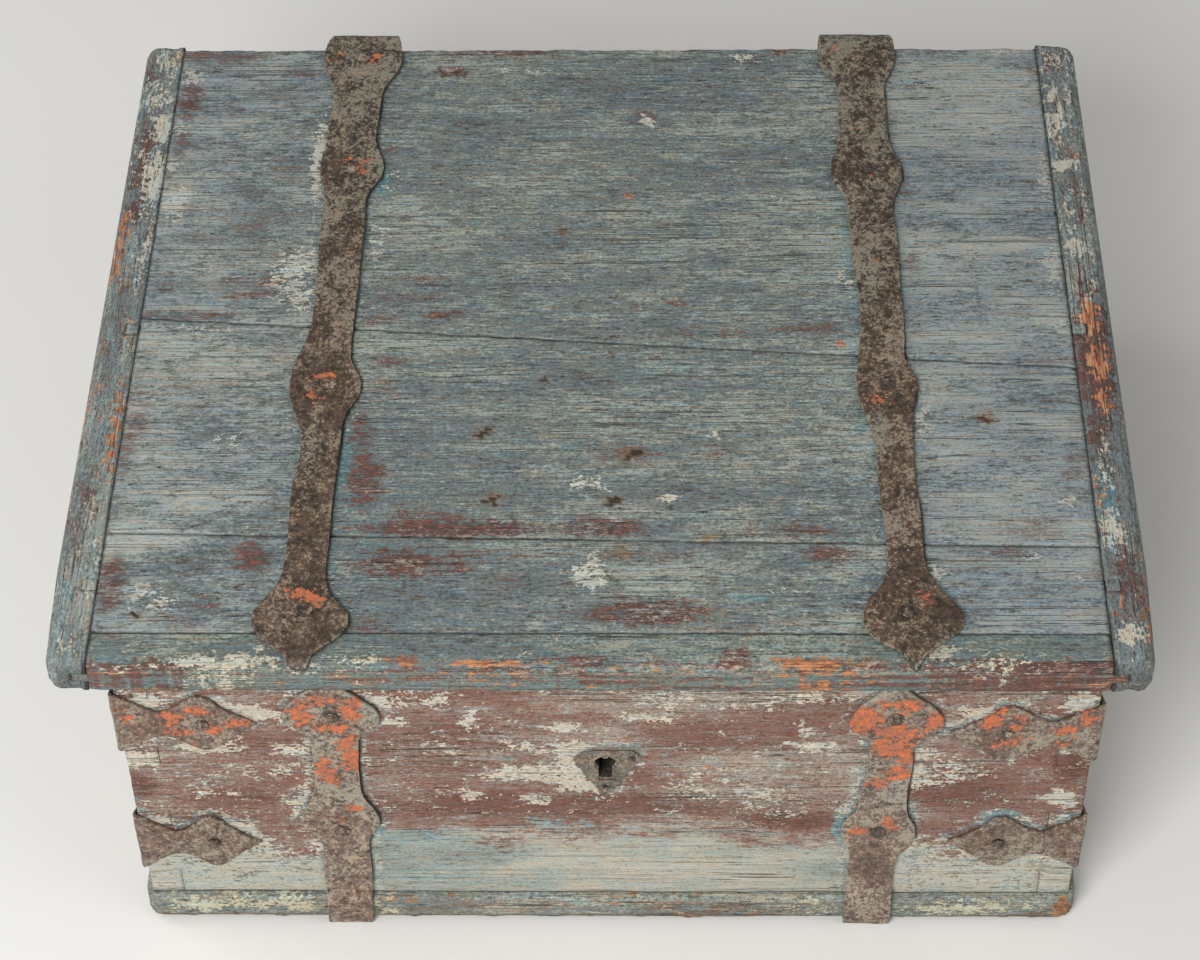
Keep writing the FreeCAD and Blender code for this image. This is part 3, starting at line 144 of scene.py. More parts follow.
coat_sum = sums(paint, (cloud, 0.5), (drift, 0.4), (flake, 0.5), (dash, 0.3), (speck, 0.3))
coat = blend(paint, step_up(paint, coat_sum, 0.9, 0.2), given["Coat"], given["Coat Green"])
second_sum = sums(paint, (given["Second"], 1.0), (flake, 0.9), (drift, 0.6), (dash, 0.3))
second = step_up(paint, second_sum, 1.27, 0.25)
second_tone = step_up(paint, sums(paint, (drift, 0.6), (cloud, 0.6)), 0.52, 0.26)
second_coat = blend(paint, times(paint, second_tone, 0.6), given["Second Coat"], given["Flake"])
coat = blend(paint, second, coat, second_coat)
coat = blend(paint, step_up(paint, tone, 0.93, 0.24), given["Coat Dark"], coat)
teal_sum = sums(paint, (flake, 0.7), (speck, 0.4), (drift, 0.5), (given["Teals"], 0.2))
coat = blend(paint, times(paint, step_up(paint, teal_sum, 0.96, 0.12), 0.8), coat, given["Teal"])
worn_sum = sums(paint, (dash, 1.3), (stain, 0.8), (speck, 0.4), (grit, 0.3), (flake, 0.8), (drift, 0.3),
                (cloud, 0.2), (given["Worn"], 0.46))
worn = step_up(paint, worn_sum, 2.44, 0.08)
bare_sum = sums(paint, (dash, 1.0), (speck, 0.5), (flake, 0.6), (drift, 0.4), (given["Bare"], 0.46))
bare = step_up(paint, bare_sum, 1.64, 0.06)
cream_sum = sums(paint, (flake, 1.1), (dash, 0.3), (drift, 0.2), (speck, 0.5), (grit, 0.7),
                 (given["Cream"], 0.36))
cream = step_up(paint, cream_sum, 1.70, 0.06)
fleck_sum = sums(paint, (grit, 0.7), (flake, 0.5), (dash, 0.3), (given["Dry"], 0.03))
fleck = step_up(paint, fleck_sum, 0.905, 0.06)
apart = sums(paint, (line, 1.0), start=-0.5)
apart = add_node(paint, "Math", {0: apart}, operation="ABSOLUTE").outputs[0]
near_line = step_up(paint, sums(paint, (apart, -1.0)), -0.022, 0.02)
crack = times(paint, near_line, step_up(paint, sums(paint, (drift, 0.7), (dash, 0.5)), 0.57, 0.1))
pore = step_up(paint, sums(paint, (dash, -0.8), (grit, -0.5)), -0.56, 0.1)
under = blend(paint, step_up(paint, sums(paint, (speck, 0.5), (dash, 0.5)), 0.42, 0.16),
              given["Under Dark"], given["Under"])
grain = sums(paint, (dash, 0.6), (hair, 0.3), (drift, 0.3))
wood = blend(paint, step_up(paint, grain, 0.5, 0.2), given["Under"], given["Wood"])
raw = blend(paint, step_up(paint, grain, 0.48, 0.24), given["Raw Dark"], given["Raw"])
dry_sum = sums(paint, (tone, 1.0), (given["Dry"], 0.11), (worn, -0.05))
dry = step_up(paint, dry_sum, 1.15, 0.17)
color = blend(paint, times(paint, worn, 0.9), coat, under)
color = blend(paint, times(paint, dry, 0.7), color, given["Pale"])
color = blend(paint, bare, color, wood)
color = blend(paint, times(paint, cream, 0.9), color, given["Flake"])
color = blend(paint, times(paint, fleck, 0.75), color, given["Flake"])
color = blend(paint, times(paint, second, 0.45), color, second_coat)
color = blend(paint, given["Unpainted"], color, raw)
open_grain = sums(paint, (second, -0.4), start=0.6)
color = blend(paint, times(paint, pore, open_grain), color, given["Under Dark"])
shade = sums(paint, (dash, 0.6), (hair, 0.7), (grit, 1.2), start=-0.25)
shaded = add_node(paint, "VectorMath", {0: color, "Scale": shade}, operation="SCALE").outputs[0]
color = blend(paint, times(paint, second, 0.35), shaded, color)
cast_sum = sums(paint, (stain, 1.0), (dash, -0.2), (speck, -0.2))
cast = blend(paint, step_up(paint, cast_sum, 0.1, 0.4), given["Cool Cast"], given["Warm Cast"])
color = add_node(paint, "VectorMath", {0: color, 1: cast}, operation="MULTIPLY").outputs[0]
color = blend(paint, times(paint, crack, 0.8), color, DARK_CRACK)
# The grime layer darkens towards old dirt. It carries real dirt in joints, at the foot and on nail heads,
# and painted shade laid beside the irons and in the keyhole.
grime_and_shade_sum = sums(paint, (given["Grime"], 1.0), (flake, 0.5), (drift, 0.3))
grime = step_up(paint, grime_and_shade_sum, 0.62, 0.5)
color = blend(paint, times(paint, grime, 0.85), color, OLD_DIRT_AND_SHADE)
paint.links.new(color, gives["Color"])
rough = sums(paint, (dash, 0.3), (worn, 0.06), (flake, 0.2), (cream, -0.06), start=0.45)
paint.links.new(rough, gives["Roughness"])
height = sums(paint, (dash, 0.9), (grit, 0.4), (hair, 0.4), (drift, 0.5), (worn, -0.35), (bare, -0.3),
              (cream, 0.45), (fleck, 0.2), (crack, -0.9), (pore, -0.3), (grime, -0.4))
paint.links.new(height, gives["Height"])


def skin_material(name, group, colours, layers, turn, bump):
    """A material from a skin group, with its own colours, and layers laid on the mesh."""
    material = bpy.data.materials.new(name)
    material.use_nodes = True
    tree = material.node_tree
    shader = tree.nodes["Principled BSDF"]
    coords = add_node(tree, "TexCoord").outputs["Object"]
    turned = add_node(tree, "Mapping", {"Vector": coords, "Rotation": turn}).outputs[0]
    skin = add_node(tree, "Group", node_tree=group)
    tree.links.new(turned, skin.inputs["Vector"])
    for label, colour in colours.items():
        skin.inputs[label].default_value = tint(*colour)
    for layer, bias in layers.items():
        laid = add_node(tree, "Attribute", attribute_name=layer.lower()).outputs["Fac"]
        total = add_node(tree, "Math", {0: laid, 1: bias}, operation="ADD")
        tree.links.new(total.outputs[0], skin.inputs[layer])
    tree.links.new(skin.outputs["Color"], shader.inputs["Base Color"])
    tree.links.new(skin.outputs["Roughness"], shader.inputs["Roughness"])
    raised = add_node(tree, "Bump", {"Height": skin.outputs["Height"], "Strength": 1.0,
                                     "Distance": bump})
    tree.links.new(raised.outputs["Normal"], shader.inputs["Normal"])
    return material


UNTURNED = (0.0, 0.0, 0.0)


def paint_material(name, colours, biases, turn=UNTURNED):
    """A weathered paint on wood. A bias adds the same amount of a layer everywhere."""
    layers = dict.fromkeys(WOOD_LAYERS, 0.0) | biases
    material = skin_material(name, paint, colours, layers, turn, 0.6 * MM)
    shader = material.node_tree.nodes["Principled BSDF"]
    shader.inputs["Specular IOR Level"].default_value = 0.35
    return material


def only(piece):
    """Makes one piece active and the only one selected."""
    bpy.ops.object.select_all(action="DESELECT")
    piece.select_set(True)
    bpy.context.view_layer.objects.active = piece


def apply_all(piece):
    """Applies every modifier of a piece."""
    only(piece)
    for modifier in list(piece.modifiers):
        bpy.ops.object.modifier_apply(modifier=modifier.name)


def dent(piece, size, depth, group="", along="NORMAL"):
    """Sinks the surface unevenly, never above where it was."""
    name = f"dents {size}"
    clouds = bpy.data.textures.get(name) or bpy.data.textures.new(name, "CLOUDS")
    clouds.noise_scale = size
    clouds.noise_depth = 3
    clouds.contrast = 1.6
    modifier = piece.modifiers.new(f"{name} {along}", "DISPLACE")
    modifier.texture = clouds
    modifier.texture_coords = "LOCAL"
    modifier.direction = along
    modifier.strength = depth
    modifier.mid_level = 1.0
    modifier.vertex_group = group


MERGE_WITHIN = 0.01 * MM
EASE = 0.5


def remeshed(name, node, cell, smoothing):
    """A merged copy of a CAD node's mesh with even facets. With no cell its arrises stay sharp."""
    piece = bpy.data.objects.new(name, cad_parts[node].data.copy())
    bpy.context.scene.collection.objects.link(piece)
    piece.data.materials.clear()
    only(piece)
    bpy.ops.object.mode_set(mode="EDIT")
    bpy.ops.mesh.select_all(action="SELECT")
    bpy.ops.mesh.remove_doubles(threshold=MERGE_WITHIN)
    bpy.ops.object.mode_set(mode="OBJECT")
    facets = piece.modifiers.new("even facets", "REMESH")
    if cell:
        facets.mode = "VOXEL"
        facets.voxel_size = cell * 1
    else:
        facets.mode = "SHARP"
        facets.octree_depth = 8
        facets.scale = 0.95
        facets.use_remove_disconnected = False
    if smoothing:
        ease = piece.modifiers.new("eased edges", "SMOOTH")
        ease.factor = EASE
        ease.iterations = smoothing
    apply_all(piece)
    low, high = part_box(node)
    for vertex in piece.data.vertices:
        for axis in range(3):
            vertex.co[axis] = min(max(vertex.co[axis], low[axis]), high[axis])
    return piece


def normals_of(piece):
    """Each vertex's normal, one row a vertex."""
    rows = np.empty(len(piece.data.vertices) * 3, np.float32)
    piece.data.vertex_normals.foreach_get("vector", rows)
    return rows.reshape(-1, 3)


def points_of(piece):
    """Each vertex's place in millimetres, one row a vertex."""
    rows = np.empty(len(piece.data.vertices) * 3, np.float32)
    piece.data.vertices.foreach_get("co", rows)
    return rows.reshape(-1, 3) / MM


ARRIS_TURN = 0.04


def points_on_arris(piece):
    """Which vertices lie on an arris, where the normal turns away from all three axes."""
    return 1 - np.abs(normals_of(piece)).max(axis=1) > ARRIS_TURN


def pick(piece, name, wanted):
    """A vertex group of the wanted vertices."""
    group = piece.vertex_groups.new(name=name)
    group.add([int(index) for index in np.nonzero(wanted)[0]], 1.0, "REPLACE")
    return name


def lay(piece, layer, amount):
    """Lays an amount of one paint layer on every vertex, on top of what is there."""
    held = piece.data.attributes.get(layer)
    if held is None:
        held = piece.data.attributes.new(layer, "FLOAT", "POINT")
        base = np.zeros(len(piece.data.vertices), np.float32)
    else:
        base = np.empty(len(piece.data.vertices), np.float32)
        held.data.foreach_get("value", base)
    held.data.foreach_set("value", (base + amount).astype(np.float32))


def spots(piece, layer, across, up, marks, share=1.0):
    """Patches of a layer: each has its middle, two radii in millimetres and a strength."""
    place = points_of(piece)
    first, second = place[:, across], place[:, up]
    ragged_first = first + 2.2 * np.sin(second * 0.9 + 2 * np.sin(first * 0.23))
    ragged_first += 1.6 * np.sin(second * 0.37 + 1)
    ragged_second = second + 1.3 * np.sin(first * 0.51 + 2 * np.sin(second * 0.31))
    ragged_second += 0.9 * np.sin(first * 1.3)
    total = np.zeros(len(place))
    for x, y, radius_x, radius_y, strength in marks:
        reach = ((ragged_first - x) / radius_x) ** 2 + ((ragged_second - y) / radius_y) ** 2
        patch = strength * np.exp(-0.7 * reach * reach)
        total = np.where(np.abs(patch) > np.abs(total), patch, total)
    lay(piece, layer, total * share)


def mark(piece, across, up, layers, share=1.0):
    """The patches of several layers."""
    for layer, marks in layers.items():
        spots(piece, layer, across, up, marks, share)


LOOK_WITHIN = 30 * MM
FAR_OFF = 1000.0


def distance_to(piece, names):
    """How far each vertex is from the nearest of some CAD nodes, in millimetres."""
    best = np.full(len(piece.data.vertices), FAR_OFF)
    for name in names:
        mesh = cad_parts[name].data
        mesh.calc_loop_triangles()
        corners = [vertex.co for vertex in mesh.vertices]
        tree = BVHTree.FromPolygons(corners, [tuple(t.vertices) for t in mesh.loop_triangles])
        for index, vertex in enumerate(piece.data.vertices):
            found = tree.find_nearest(vertex.co, LOOK_WITHIN)
            if found[3] is not None:
                best[index] = min(best[index], found[3] / MM)
    return best


def dress(piece, material, body):
    """Gives a piece its material, and lets it stand for the CAD node in its name."""
    node = piece.name.rsplit("_", 1)[0]
    only(piece)
    bpy.ops.object.shade_smooth()
    piece.data.materials.append(material)
    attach(piece, body)
    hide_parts(node)


FACE_WITHIN = 1.2


def worn_board(node, outward, chips, free=None):
    """A board with slightly hollow outer faces, knocked free arrises and tight seams."""
    piece = remeshed(node + "_worn", node, 0, 0)
    place = points_of(piece)
    arris = points_on_arris(piece)
    knocked = arris if free is None else arris & free(place)
    dent(piece, 0.009, chips, pick(piece, "free arris", knocked))
    dent(piece, 0.006, 0.5 * MM, pick(piece, "seam", arris & ~knocked))
    for direction in outward:
        axis = "XYZ".index(direction[-1])
        sign = -1 if direction[0] == "-" else 1
        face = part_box(node)[sign > 0][axis] / MM
        group = pick(piece, f"face {direction}", np.abs(place[:, axis] - face) < FACE_WITHIN)
        dent(piece, 0.09, sign * 0.9 * MM, group, direction[-1])
        dent(piece, 0.018, sign * 0.35 * MM, group, direction[-1])
    ease = piece.modifiers.new("eased chips", "SMOOTH")
    ease.factor = 0.25
    ease.iterations = 1
    apply_all(piece)
    return piece


def second_paint(piece, material, wanted):
    """A second material on the faces whose middle and normal are wanted."""
    piece.data.materials.append(material)
    middles = np.empty(len(piece.data.polygons) * 3, np.float32)
    facing = np.empty_like(middles)
    piece.data.polygons.foreach_get("center", middles)
    piece.data.polygons.foreach_get("normal", facing)
    chosen = wanted(middles.reshape(-1, 3) / MM, facing.reshape(-1, 3))
    piece.data.polygons.foreach_set("material_index", chosen.astype(np.int32))


front_low, front_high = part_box("front_board")
body_front = front_low.y / MM
body_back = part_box("back_board")[1].y / MM
body_left = front_low.x / MM
body_right = front_high.x / MM
wall_z = front_low.z / MM
seat_z = front_high.z / MM
wall = (front_high.y - front_low.y) / MM
BARE_UNDERSIDE = 6
QUARTER = 1.5707963

plinth_paint = paint_material(
    "plinth paint",
    {"Coat": (118, 124, 118), "Coat Dark": (84, 88, 86), "Pale": (178, 178, 160), "Teal": (84, 128, 134),
     "Coat Green": (112, 122, 114), "Under": (118, 84, 64), "Under Dark": (74, 56, 48),
     "Wood": (178, 120, 76), "Flake": (184, 180, 154), "Raw": (134, 118, 96), "Raw Dark": (88, 76, 62)},
    {"Worn": 0.55, "Cream": 0.3, "Bare": 0.25, "Teals": 0.3, "Dry": 0.2},
)
for name, outward in (
    ("bottom_board_front", ("-Y", "X", "-X")),
    ("bottom_board_middle", ("X", "-X")),
    ("bottom_board_back", ("Y", "X", "-X")),
):
    board = worn_board(name, outward, 2.4 * MM)
    x, y, z = points_of(board).T
    inside = (x > body_left + wall) & (x < body_right - wall)
    inside &= (y > body_front + wall) & (y < body_back - wall)
    inside &= z > wall_z - 1.5
    lay(board, "unpainted", inside | (z < BARE_UNDERSIDE))
    if name == "bottom_board_front":
        mark(board, 0, 2, {
            "cream": [(-235, 16, 40, 9, 0.8), (-190, 18, 16, 8, 0.9), (-270, 12, 12, 8, 0.4),
                      (215, 14, 34, 9, 0.8), (255, 18, 16, 6, 0.6), (-132, 10, 8, 14, 0.6),
                      (128, 12, 12, 12, 0.6)],
            "bare": [(-115, 21, 40, 3, 0.6), (30, 20, 45, 3, 0.7), (-30, 10, 40, 5, 0.35),
                     (60, 8, 50, 5, 0.4), (279, 12, 6, 14, 1.0), (-150, 3, 60, 3, 0.5),
                     (20, 2, 120, 3, 0.6), (-279, 10, 4, 10, 0.4)],
            "worn": [(-60, 14, 50, 8, 0.3), (70, 12, 60, 8, 0.35), (270, 8, 14, 8, 0.5)],
            "teals": [(-30, 18, 60, 8, 0.6), (240, 14, 30, 8, 0.6), (-120, 14, 24, 7, 0.4)],
        })
    dress(board, plinth_paint, "chest")

# Walls: wide pine boards dovetailed at the corners. Red-brown paint shows through worn
# cream and blue-grey in front, with a pale band near the foot, and the inside is bare wood.
front_paint = paint_material(
    "front paint",
    {"Coat": (126, 96, 84), "Coat Dark": (106, 76, 64), "Pale": (176, 166, 150), "Teal": (104, 146, 150),
     "Coat Green": (144, 134, 122), "Under": (112, 72, 58), "Under Dark": (78, 56, 45),
     "Wood": (190, 118, 72), "Flake": (190, 185, 168), "Raw": (140, 116, 88), "Raw Dark": (98, 78, 58),
     "Second Coat": (136, 147, 138)},
    {"Worn": 0.7, "Cream": 0.45, "Bare": -0.2, "Teals": -0.4},
)
IRONS_IN_FRONT = [
    "front_strap_left", "front_strap_right", "corner_strap_front_left_upper", "escutcheon",
    "corner_strap_front_right_upper", "corner_strap_front_left_lower", "corner_strap_front_right_lower",
]
# Patches on the front: middle across and up, two radii, and a strength.
FRONT_MARKS = {
    "cream": [
        (-257, 210, 12, 8, 0.8), (-202, 197, 15, 8, 0.9), (-267, 154, 12, 7, 1.0), (-190, 144, 24, 8, 0.5),
        (-182, 165, 12, 6, 0.7), (-227, 166, 22, 5, 0.7), (-232, 130, 18, 11, 0.4),
        (-177, 120, 15, 17, 0.4), (-115, 210, 16, 9, 0.6), (-90, 210, 10, 9, 0.7), (-75, 190, 4, 11, 0.9),
        (-21, 185, 11, 4, 1.0), (-115, 190, 6, 5, 0.7), (-50, 142, 19, 7, 0.9), (-25, 142, 17, 10, 0.9),
        (-40, 167, 13, 6, 0.8), (-20, 163, 9, 11, 0.9), (-14, 132, 13, 7, 1.0), (-75, 122, 6, 6, 1.0),
        (-90, 125, 15, 6, 0.6), (-37, 117, 9, 6, 0.8), (35, 212, 22, 7, 0.6), (82, 210, 18, 11, 0.5),
        (25, 194, 28, 4, 0.5), (115, 187, 4, 9, 0.8), (122, 167, 15, 6, 0.6), (122, 212, 15, 6, 0.5),
        (188, 162, 9, 5, 0.7), (195, 142, 22, 13, 0.5), (271, 210, 8, 9, 1.1), (270, 120, 9, 9, 0.9),
        (214, 200, 12, 5, 0.8), (60, 132, 26, 14, 0.35), (100, 112, 24, 10, 0.4), (-60, 224, 160, 6, 0.3),
        (-212, 92, 8, 6, 0.8), (-262, 96, 8, 3, 0.9), (-262, 170, 8, 6, 0.6), (-180, 150, 22, 4, 0.6),
        (250, 62, 14, 5, 0.8),
    ],
    "teals": [
        (-25, 97, 28, 9, 1.4), (-110, 80, 30, 9, 0.8), (-192, 110, 15, 9, 0.9), (38, 157, 5, 13, 1.6),
        (15, 171, 14, 3, 1.4), (140, 108, 5, 24, 1.2), (277, 138, 6, 12, 1.4), (-274, 120, 6, 10, 1.4),
        (-50, 155, 6, 12, 1.2), (-60, 100, 12, 8, 0.8), (100, 88, 40, 6, 0.6), (-262, 45, 22, 8, 0.9),
        (-105, 42, 30, 10, 1.0), (30, 34, 60, 6, 0.8), (245, 105, 30, 6, 0.7), (265, 30, 16, 7, 1.0),
    ],
    "bare": [
        (-26, 202, 5, 5, 1.3), (59, 167, 7, 3, 0.9), (60, 149, 7, 3, 1.0), (268, 111, 9, 2.5, 1.1),
        (-43, 157, 4, 10, 0.9), (-215, 45, 16, 8, 0.5), (-266, 135, 10, 6, 0.7), (-55, 212, 12, 8, 0.35),
        (-250, 118, 8, 4, 0.8), (-268, 110, 8, 4, 0.7), (-177, 130, 10, 5, 0.4),
    ],
    "worn": [
        (0, 112, 110, 12, 0.4), (-60, 112, 60, 12, 0.4), (110, 96, 26, 9, 0.8), (-110, 105, 30, 12, 0.3),
        (-230, 175, 40, 10, 0.2), (70, 175, 60, 16, 0.25), (205, 130, 30, 20, 0.4),
        (-85, 165, 40, 30, 0.25), (-215, 45, 18, 11, 0.4), (-110, 82, 22, 7, 0.55), (60, 84, 26, 5, 0.5),
        (272, 150, 10, 12, 0.7), (-270, 130, 8, 12, 0.5), (120, 205, 40, 10, 0.3), (-215, 120, 30, 8, 0.3),
    ],
}


def fade(distance, width):
    """1 at no distance, and less and less beyond a width."""
    return np.exp(-(distance / width) ** 2)


BAND_TOP = 104
BAND_TOP_AT_SIDES = 84
BAND_MIDDLE = 5
FRONT_STRAP_MIDDLES = (-140, 178)
DRILL_PIN = (2.5, 150)


def front_wear(board, share):
    """Everything that wore and marked the front of the chest, and the shade painted beside its irons and in
    its keyhole.
    """
    x, y, z = points_of(board).T
    wave = 5 * np.sin(x / 23) + 3 * np.sin(x / 7.3)
    from_middle = np.abs(x - BAND_MIDDLE)
    at_sides = np.clip((from_middle - 125) / 30, 0, 1)
    band = np.clip((BAND_TOP - z + wave) / 52, 0, 1)
    beside = np.clip((BAND_TOP_AT_SIDES - z + 5 * np.sin(x / 9)) / 40, 0, 1)
    band = np.where(from_middle > 150, beside, band)
    lay(board, "second", share * band)
    lay(board, "worn", -share * band)
    lay(board, "cream", share * band * (1.3 * at_sides - 0.35))
    blue = 2.2 - 1.5 * np.clip((BAND_TOP_AT_SIDES - z) / 24, 0, 1)
    lay(board, "teals", share * band * blue * (1 - 0.9 * at_sides))
    mark(board, 0, 2, FRONT_MARKS, share)
    gap = distance_to(board, IRONS_IN_FRONT)
    strap_middle = np.where(x < 0, *FRONT_STRAP_MIDDLES)
    # Painted shadow: a dark line laid round the irons, heavier on the right of each strap, where the shadow
    # falls. The dark line along the foot of the board is its joint with the bottom.
    right = np.where(np.abs(x - strap_middle) < 16, 1.0, 0.35)
    lay(board, "cream", 0.35 * share * fade(gap - 3, 3))
    lay(board, "teals", 1.6 * share * fade(gap - 2, 3.5))
    lay(board, "grime", share * (0.7 * right * fade(gap, 1.4) + 0.6 * fade(z - wall_z, 2.0)))
    # Painted shade: the walls of the keyhole are darkened as the shade inside the hole.
    from_pin = np.hypot(x - DRILL_PIN[0], z - DRILL_PIN[1])
    in_keyhole = (from_pin < 20) & (y > body_front + 1.5)
    lay(board, "grime", 1.2 * share * in_keyhole)


front = worn_board("front_board", ("-Y", "X", "-X"), 0.8 * MM, lambda at: at[:, 2] > seat_z - 2)
x, y, z = points_of(front).T
lay(front, "unpainted", y > body_front + wall - 2)
front_wear(front, 1.0)
dress(front, front_paint, "chest")

WALL_COLOURS = {
    "Coat": (120, 124, 120), "Coat Dark": (88, 88, 88), "Pale": (174, 174, 160),
    "Coat Green": (112, 122, 114), "Teal": (86, 124, 128), "Under": (112, 70, 60),
    "Under Dark": (78, 52, 46), "Wood": (176, 120, 78), "Flake": (182, 178, 156),
    "Raw": (140, 116, 88), "Raw Dark": (98, 78, 58),
}
WALL_BIASES = {"Worn": 0.5, "Cream": 0.1, "Teals": 0.1}
wall_paint = paint_material("wall paint", WALL_COLOURS, WALL_BIASES)
end_paint = paint_material("end paint", WALL_COLOURS, WALL_BIASES, turn=(0.0, 0.0, QUARTER))
second_paint(front, end_paint, lambda at, facing: np.abs(facing[:, 0]) > 0.7)
END_IRONS = ["handle_plates"] + [
    f"corner_strap_{depth}_{side}_{level}"
    for depth in ("front", "back") for side in ("left", "right") for level in ("upper", "lower")
]
WALL_FOOT = 92
for name, material, outward, irons in (
    ("back_board", wall_paint, ("Y", "X", "-X"), ["back_strap_left", "back_strap_right"] + END_IRONS),
    ("left_side_board", end_paint, ("-X", "Y", "-Y"), END_IRONS),
    ("right_side_board", end_paint, ("X", "Y", "-Y"), END_IRONS),
):
    board = worn_board(name, outward, 0.8 * MM, lambda at: at[:, 2] > seat_z - 2)
    x, y, z = points_of(board).T
    inside = (x > body_left + wall - 1) & (x < body_right - wall + 1)
    inside &= (y > body_front + wall - 1) & (y < body_back - wall + 1)
    lay(board, "unpainted", inside)
    in_front = 1.0 * (y < body_front + 1.5)
    low = (1 - in_front) * np.clip((WALL_FOOT - z) / 24, 0, 1)
    lay(board, "cream", 0.7 * low)
    lay(board, "worn", -0.6 * low)
    gap = distance_to(board, irons)
    lay(board, "cream", 0.5 * (1 - in_front) * fade(gap - 3, 4.5))
    # Painted shade: a narrow dark line round the irons, in the crevice where they meet the board.
    lay(board, "grime", 0.5 * (1 - in_front) * fade(gap, 1.5))
    front_wear(board, in_front)
    dress(board, material, "chest")
    second_paint(board, front_paint,
                 lambda at, facing: (at[:, 1] < body_front + 3) & (facing[:, 1] < -0.5))

# Strap iron: hand-forged wrought iron, hammered flat, nailed on with rose-headed nails.
# Rust-brown skin keeps grey-green specks of old paint and patches of orange primer.
iron, given, gives = shader_group(
    "forged iron skin",
    [
        ("Vector", "Vector", None), ("Rust", "Color", None), ("Rust Dark", "Color", None),
        ("Rust Light", "Color", tint(120, 97, 81)), ("Scale", "Color", tint(140, 142, 130)),
        ("Old Red", "Color", tint(118, 72, 54)), ("Primer Colour", "Color", tint(192, 104, 66)),
        ("Primer Dull", "Color", tint(160, 106, 80)),
        ("Primer", "Float", 0.0), ("Specks", "Float", 0.0), ("Grime", "Float", 0.0),
    ],
    [("Color", "Color"), ("Roughness", "Float"), ("Height", "Float")],
)
RUST_PIT = tint(44, 35, 30)
PACKED_DIRT = tint(36, 30, 27)
point = given["Vector"]
broad = noise(iron, point, (26.0,) * 3, 4.0, 0.6)
mottle = noise(iron, point, (150.0,) * 3, 5.0, 0.72, 0.4)
grit = noise(iron, point, (340.0,) * 3, 3.0, 0.7)
dust = noise(iron, point, (620.0,) * 3, 2.0, 0.8)
drawn = noise(iron, point, (300.0, 60.0, 60.0), 4.0, 0.65)
tone = sums(iron, (mottle, 0.5), (grit, 0.5), (broad, 0.3), (drawn, 0.4))
rust = blend(iron, step_up(iron, tone, 0.72, 0.16), given["Rust Dark"], given["Rust"])
rust = blend(iron, step_up(iron, tone, 0.88, 0.14), rust, given["Rust Light"])
red_sum = sums(iron, (mottle, 0.6), (broad, 0.7), (grit, 0.2))
rust = blend(iron, times(iron, step_up(iron, red_sum, 0.74, 0.12), 0.7), rust, given["Old Red"])
speck_sum = sums(iron, (dust, 0.7), (grit, 0.6), (mottle, 0.8), (broad, 0.7), (given["Specks"], 0.16))
speck = step_up(iron, speck_sum, 1.46, 0.16)
primer_sum = sums(iron, (mottle, 0.8), (grit, 0.7), (dust, 0.6), (given["Primer"], 0.36))
primer = step_up(iron, primer_sum, 1.25, 0.08)
primer_tone = step_up(iron, sums(iron, (mottle, 0.5), (grit, 0.5)), 0.44, 0.16)
primer_colour = blend(iron, primer_tone, given["Primer Dull"], given["Primer Colour"])
color = blend(iron, times(iron, speck, 0.75), rust, given["Scale"])
color = blend(iron, primer, color, primer_colour)
shade = sums(iron, (grit, 0.7), (mottle, 0.5), (dust, 0.9), start=-0.05)
color = add_node(iron, "VectorMath", {0: color, "Scale": shade}, operation="SCALE").outputs[0]
cast = blend(iron, step_up(iron, sums(iron, (mottle, 0.5), (dust, 0.5)), 0.34, 0.32),
             (0.87, 1.0, 1.14, 1.0), (1.15, 1.0, 0.84, 1.0))
color = add_node(iron, "VectorMath", {0: color, 1: cast}, operation="MULTIPLY").outputs[0]
pit = step_up(iron, sums(iron, (grit, -0.8), (mottle, -0.5)), -0.53, 0.08)
color = blend(iron, times(iron, pit, 0.5), color, RUST_PIT)
grime = step_up(iron, sums(iron, (given["Grime"], 1.0), (mottle, 0.5)), 0.6, 0.5)
color = blend(iron, times(iron, grime, 0.8), color, PACKED_DIRT)
iron.links.new(color, gives["Color"])
rough = sums(iron, (mottle, 0.3), (speck, 0.1), (primer, 0.12), (grit, 0.1), start=0.34)
iron.links.new(rough, gives["Roughness"])
height = sums(iron, (broad, 1.2), (mottle, 0.8), (grit, 0.25), (drawn, 0.5), (speck, 0.12),
              (primer, 0.2), (pit, -0.3))
iron.links.new(height, gives["Height"])


def iron_material(name, colours, specks, turn=UNTURNED, metallic=0.15, bump=1.2 * MM):
    """Forged iron with its own colours and share of paint specks."""
    layers = {"Primer": 0.0, "Specks": specks, "Grime": 0.0}
    material = skin_material(name, iron, colours, layers, turn, bump)
    shader = material.node_tree.nodes["Principled BSDF"]
    shader.inputs["Metallic"].default_value = metallic
    return material


def forged(node, cell, smoothing=1):
    """A piece of strap iron with hammer dents, rust pits and soft edges."""
    piece = remeshed(node + "_forged", node, cell, smoothing)
    dent(piece, 0.03, 0.9 * MM)
    dent(piece, 0.006, 0.45 * MM)
    apply_all(piece)
    return piece


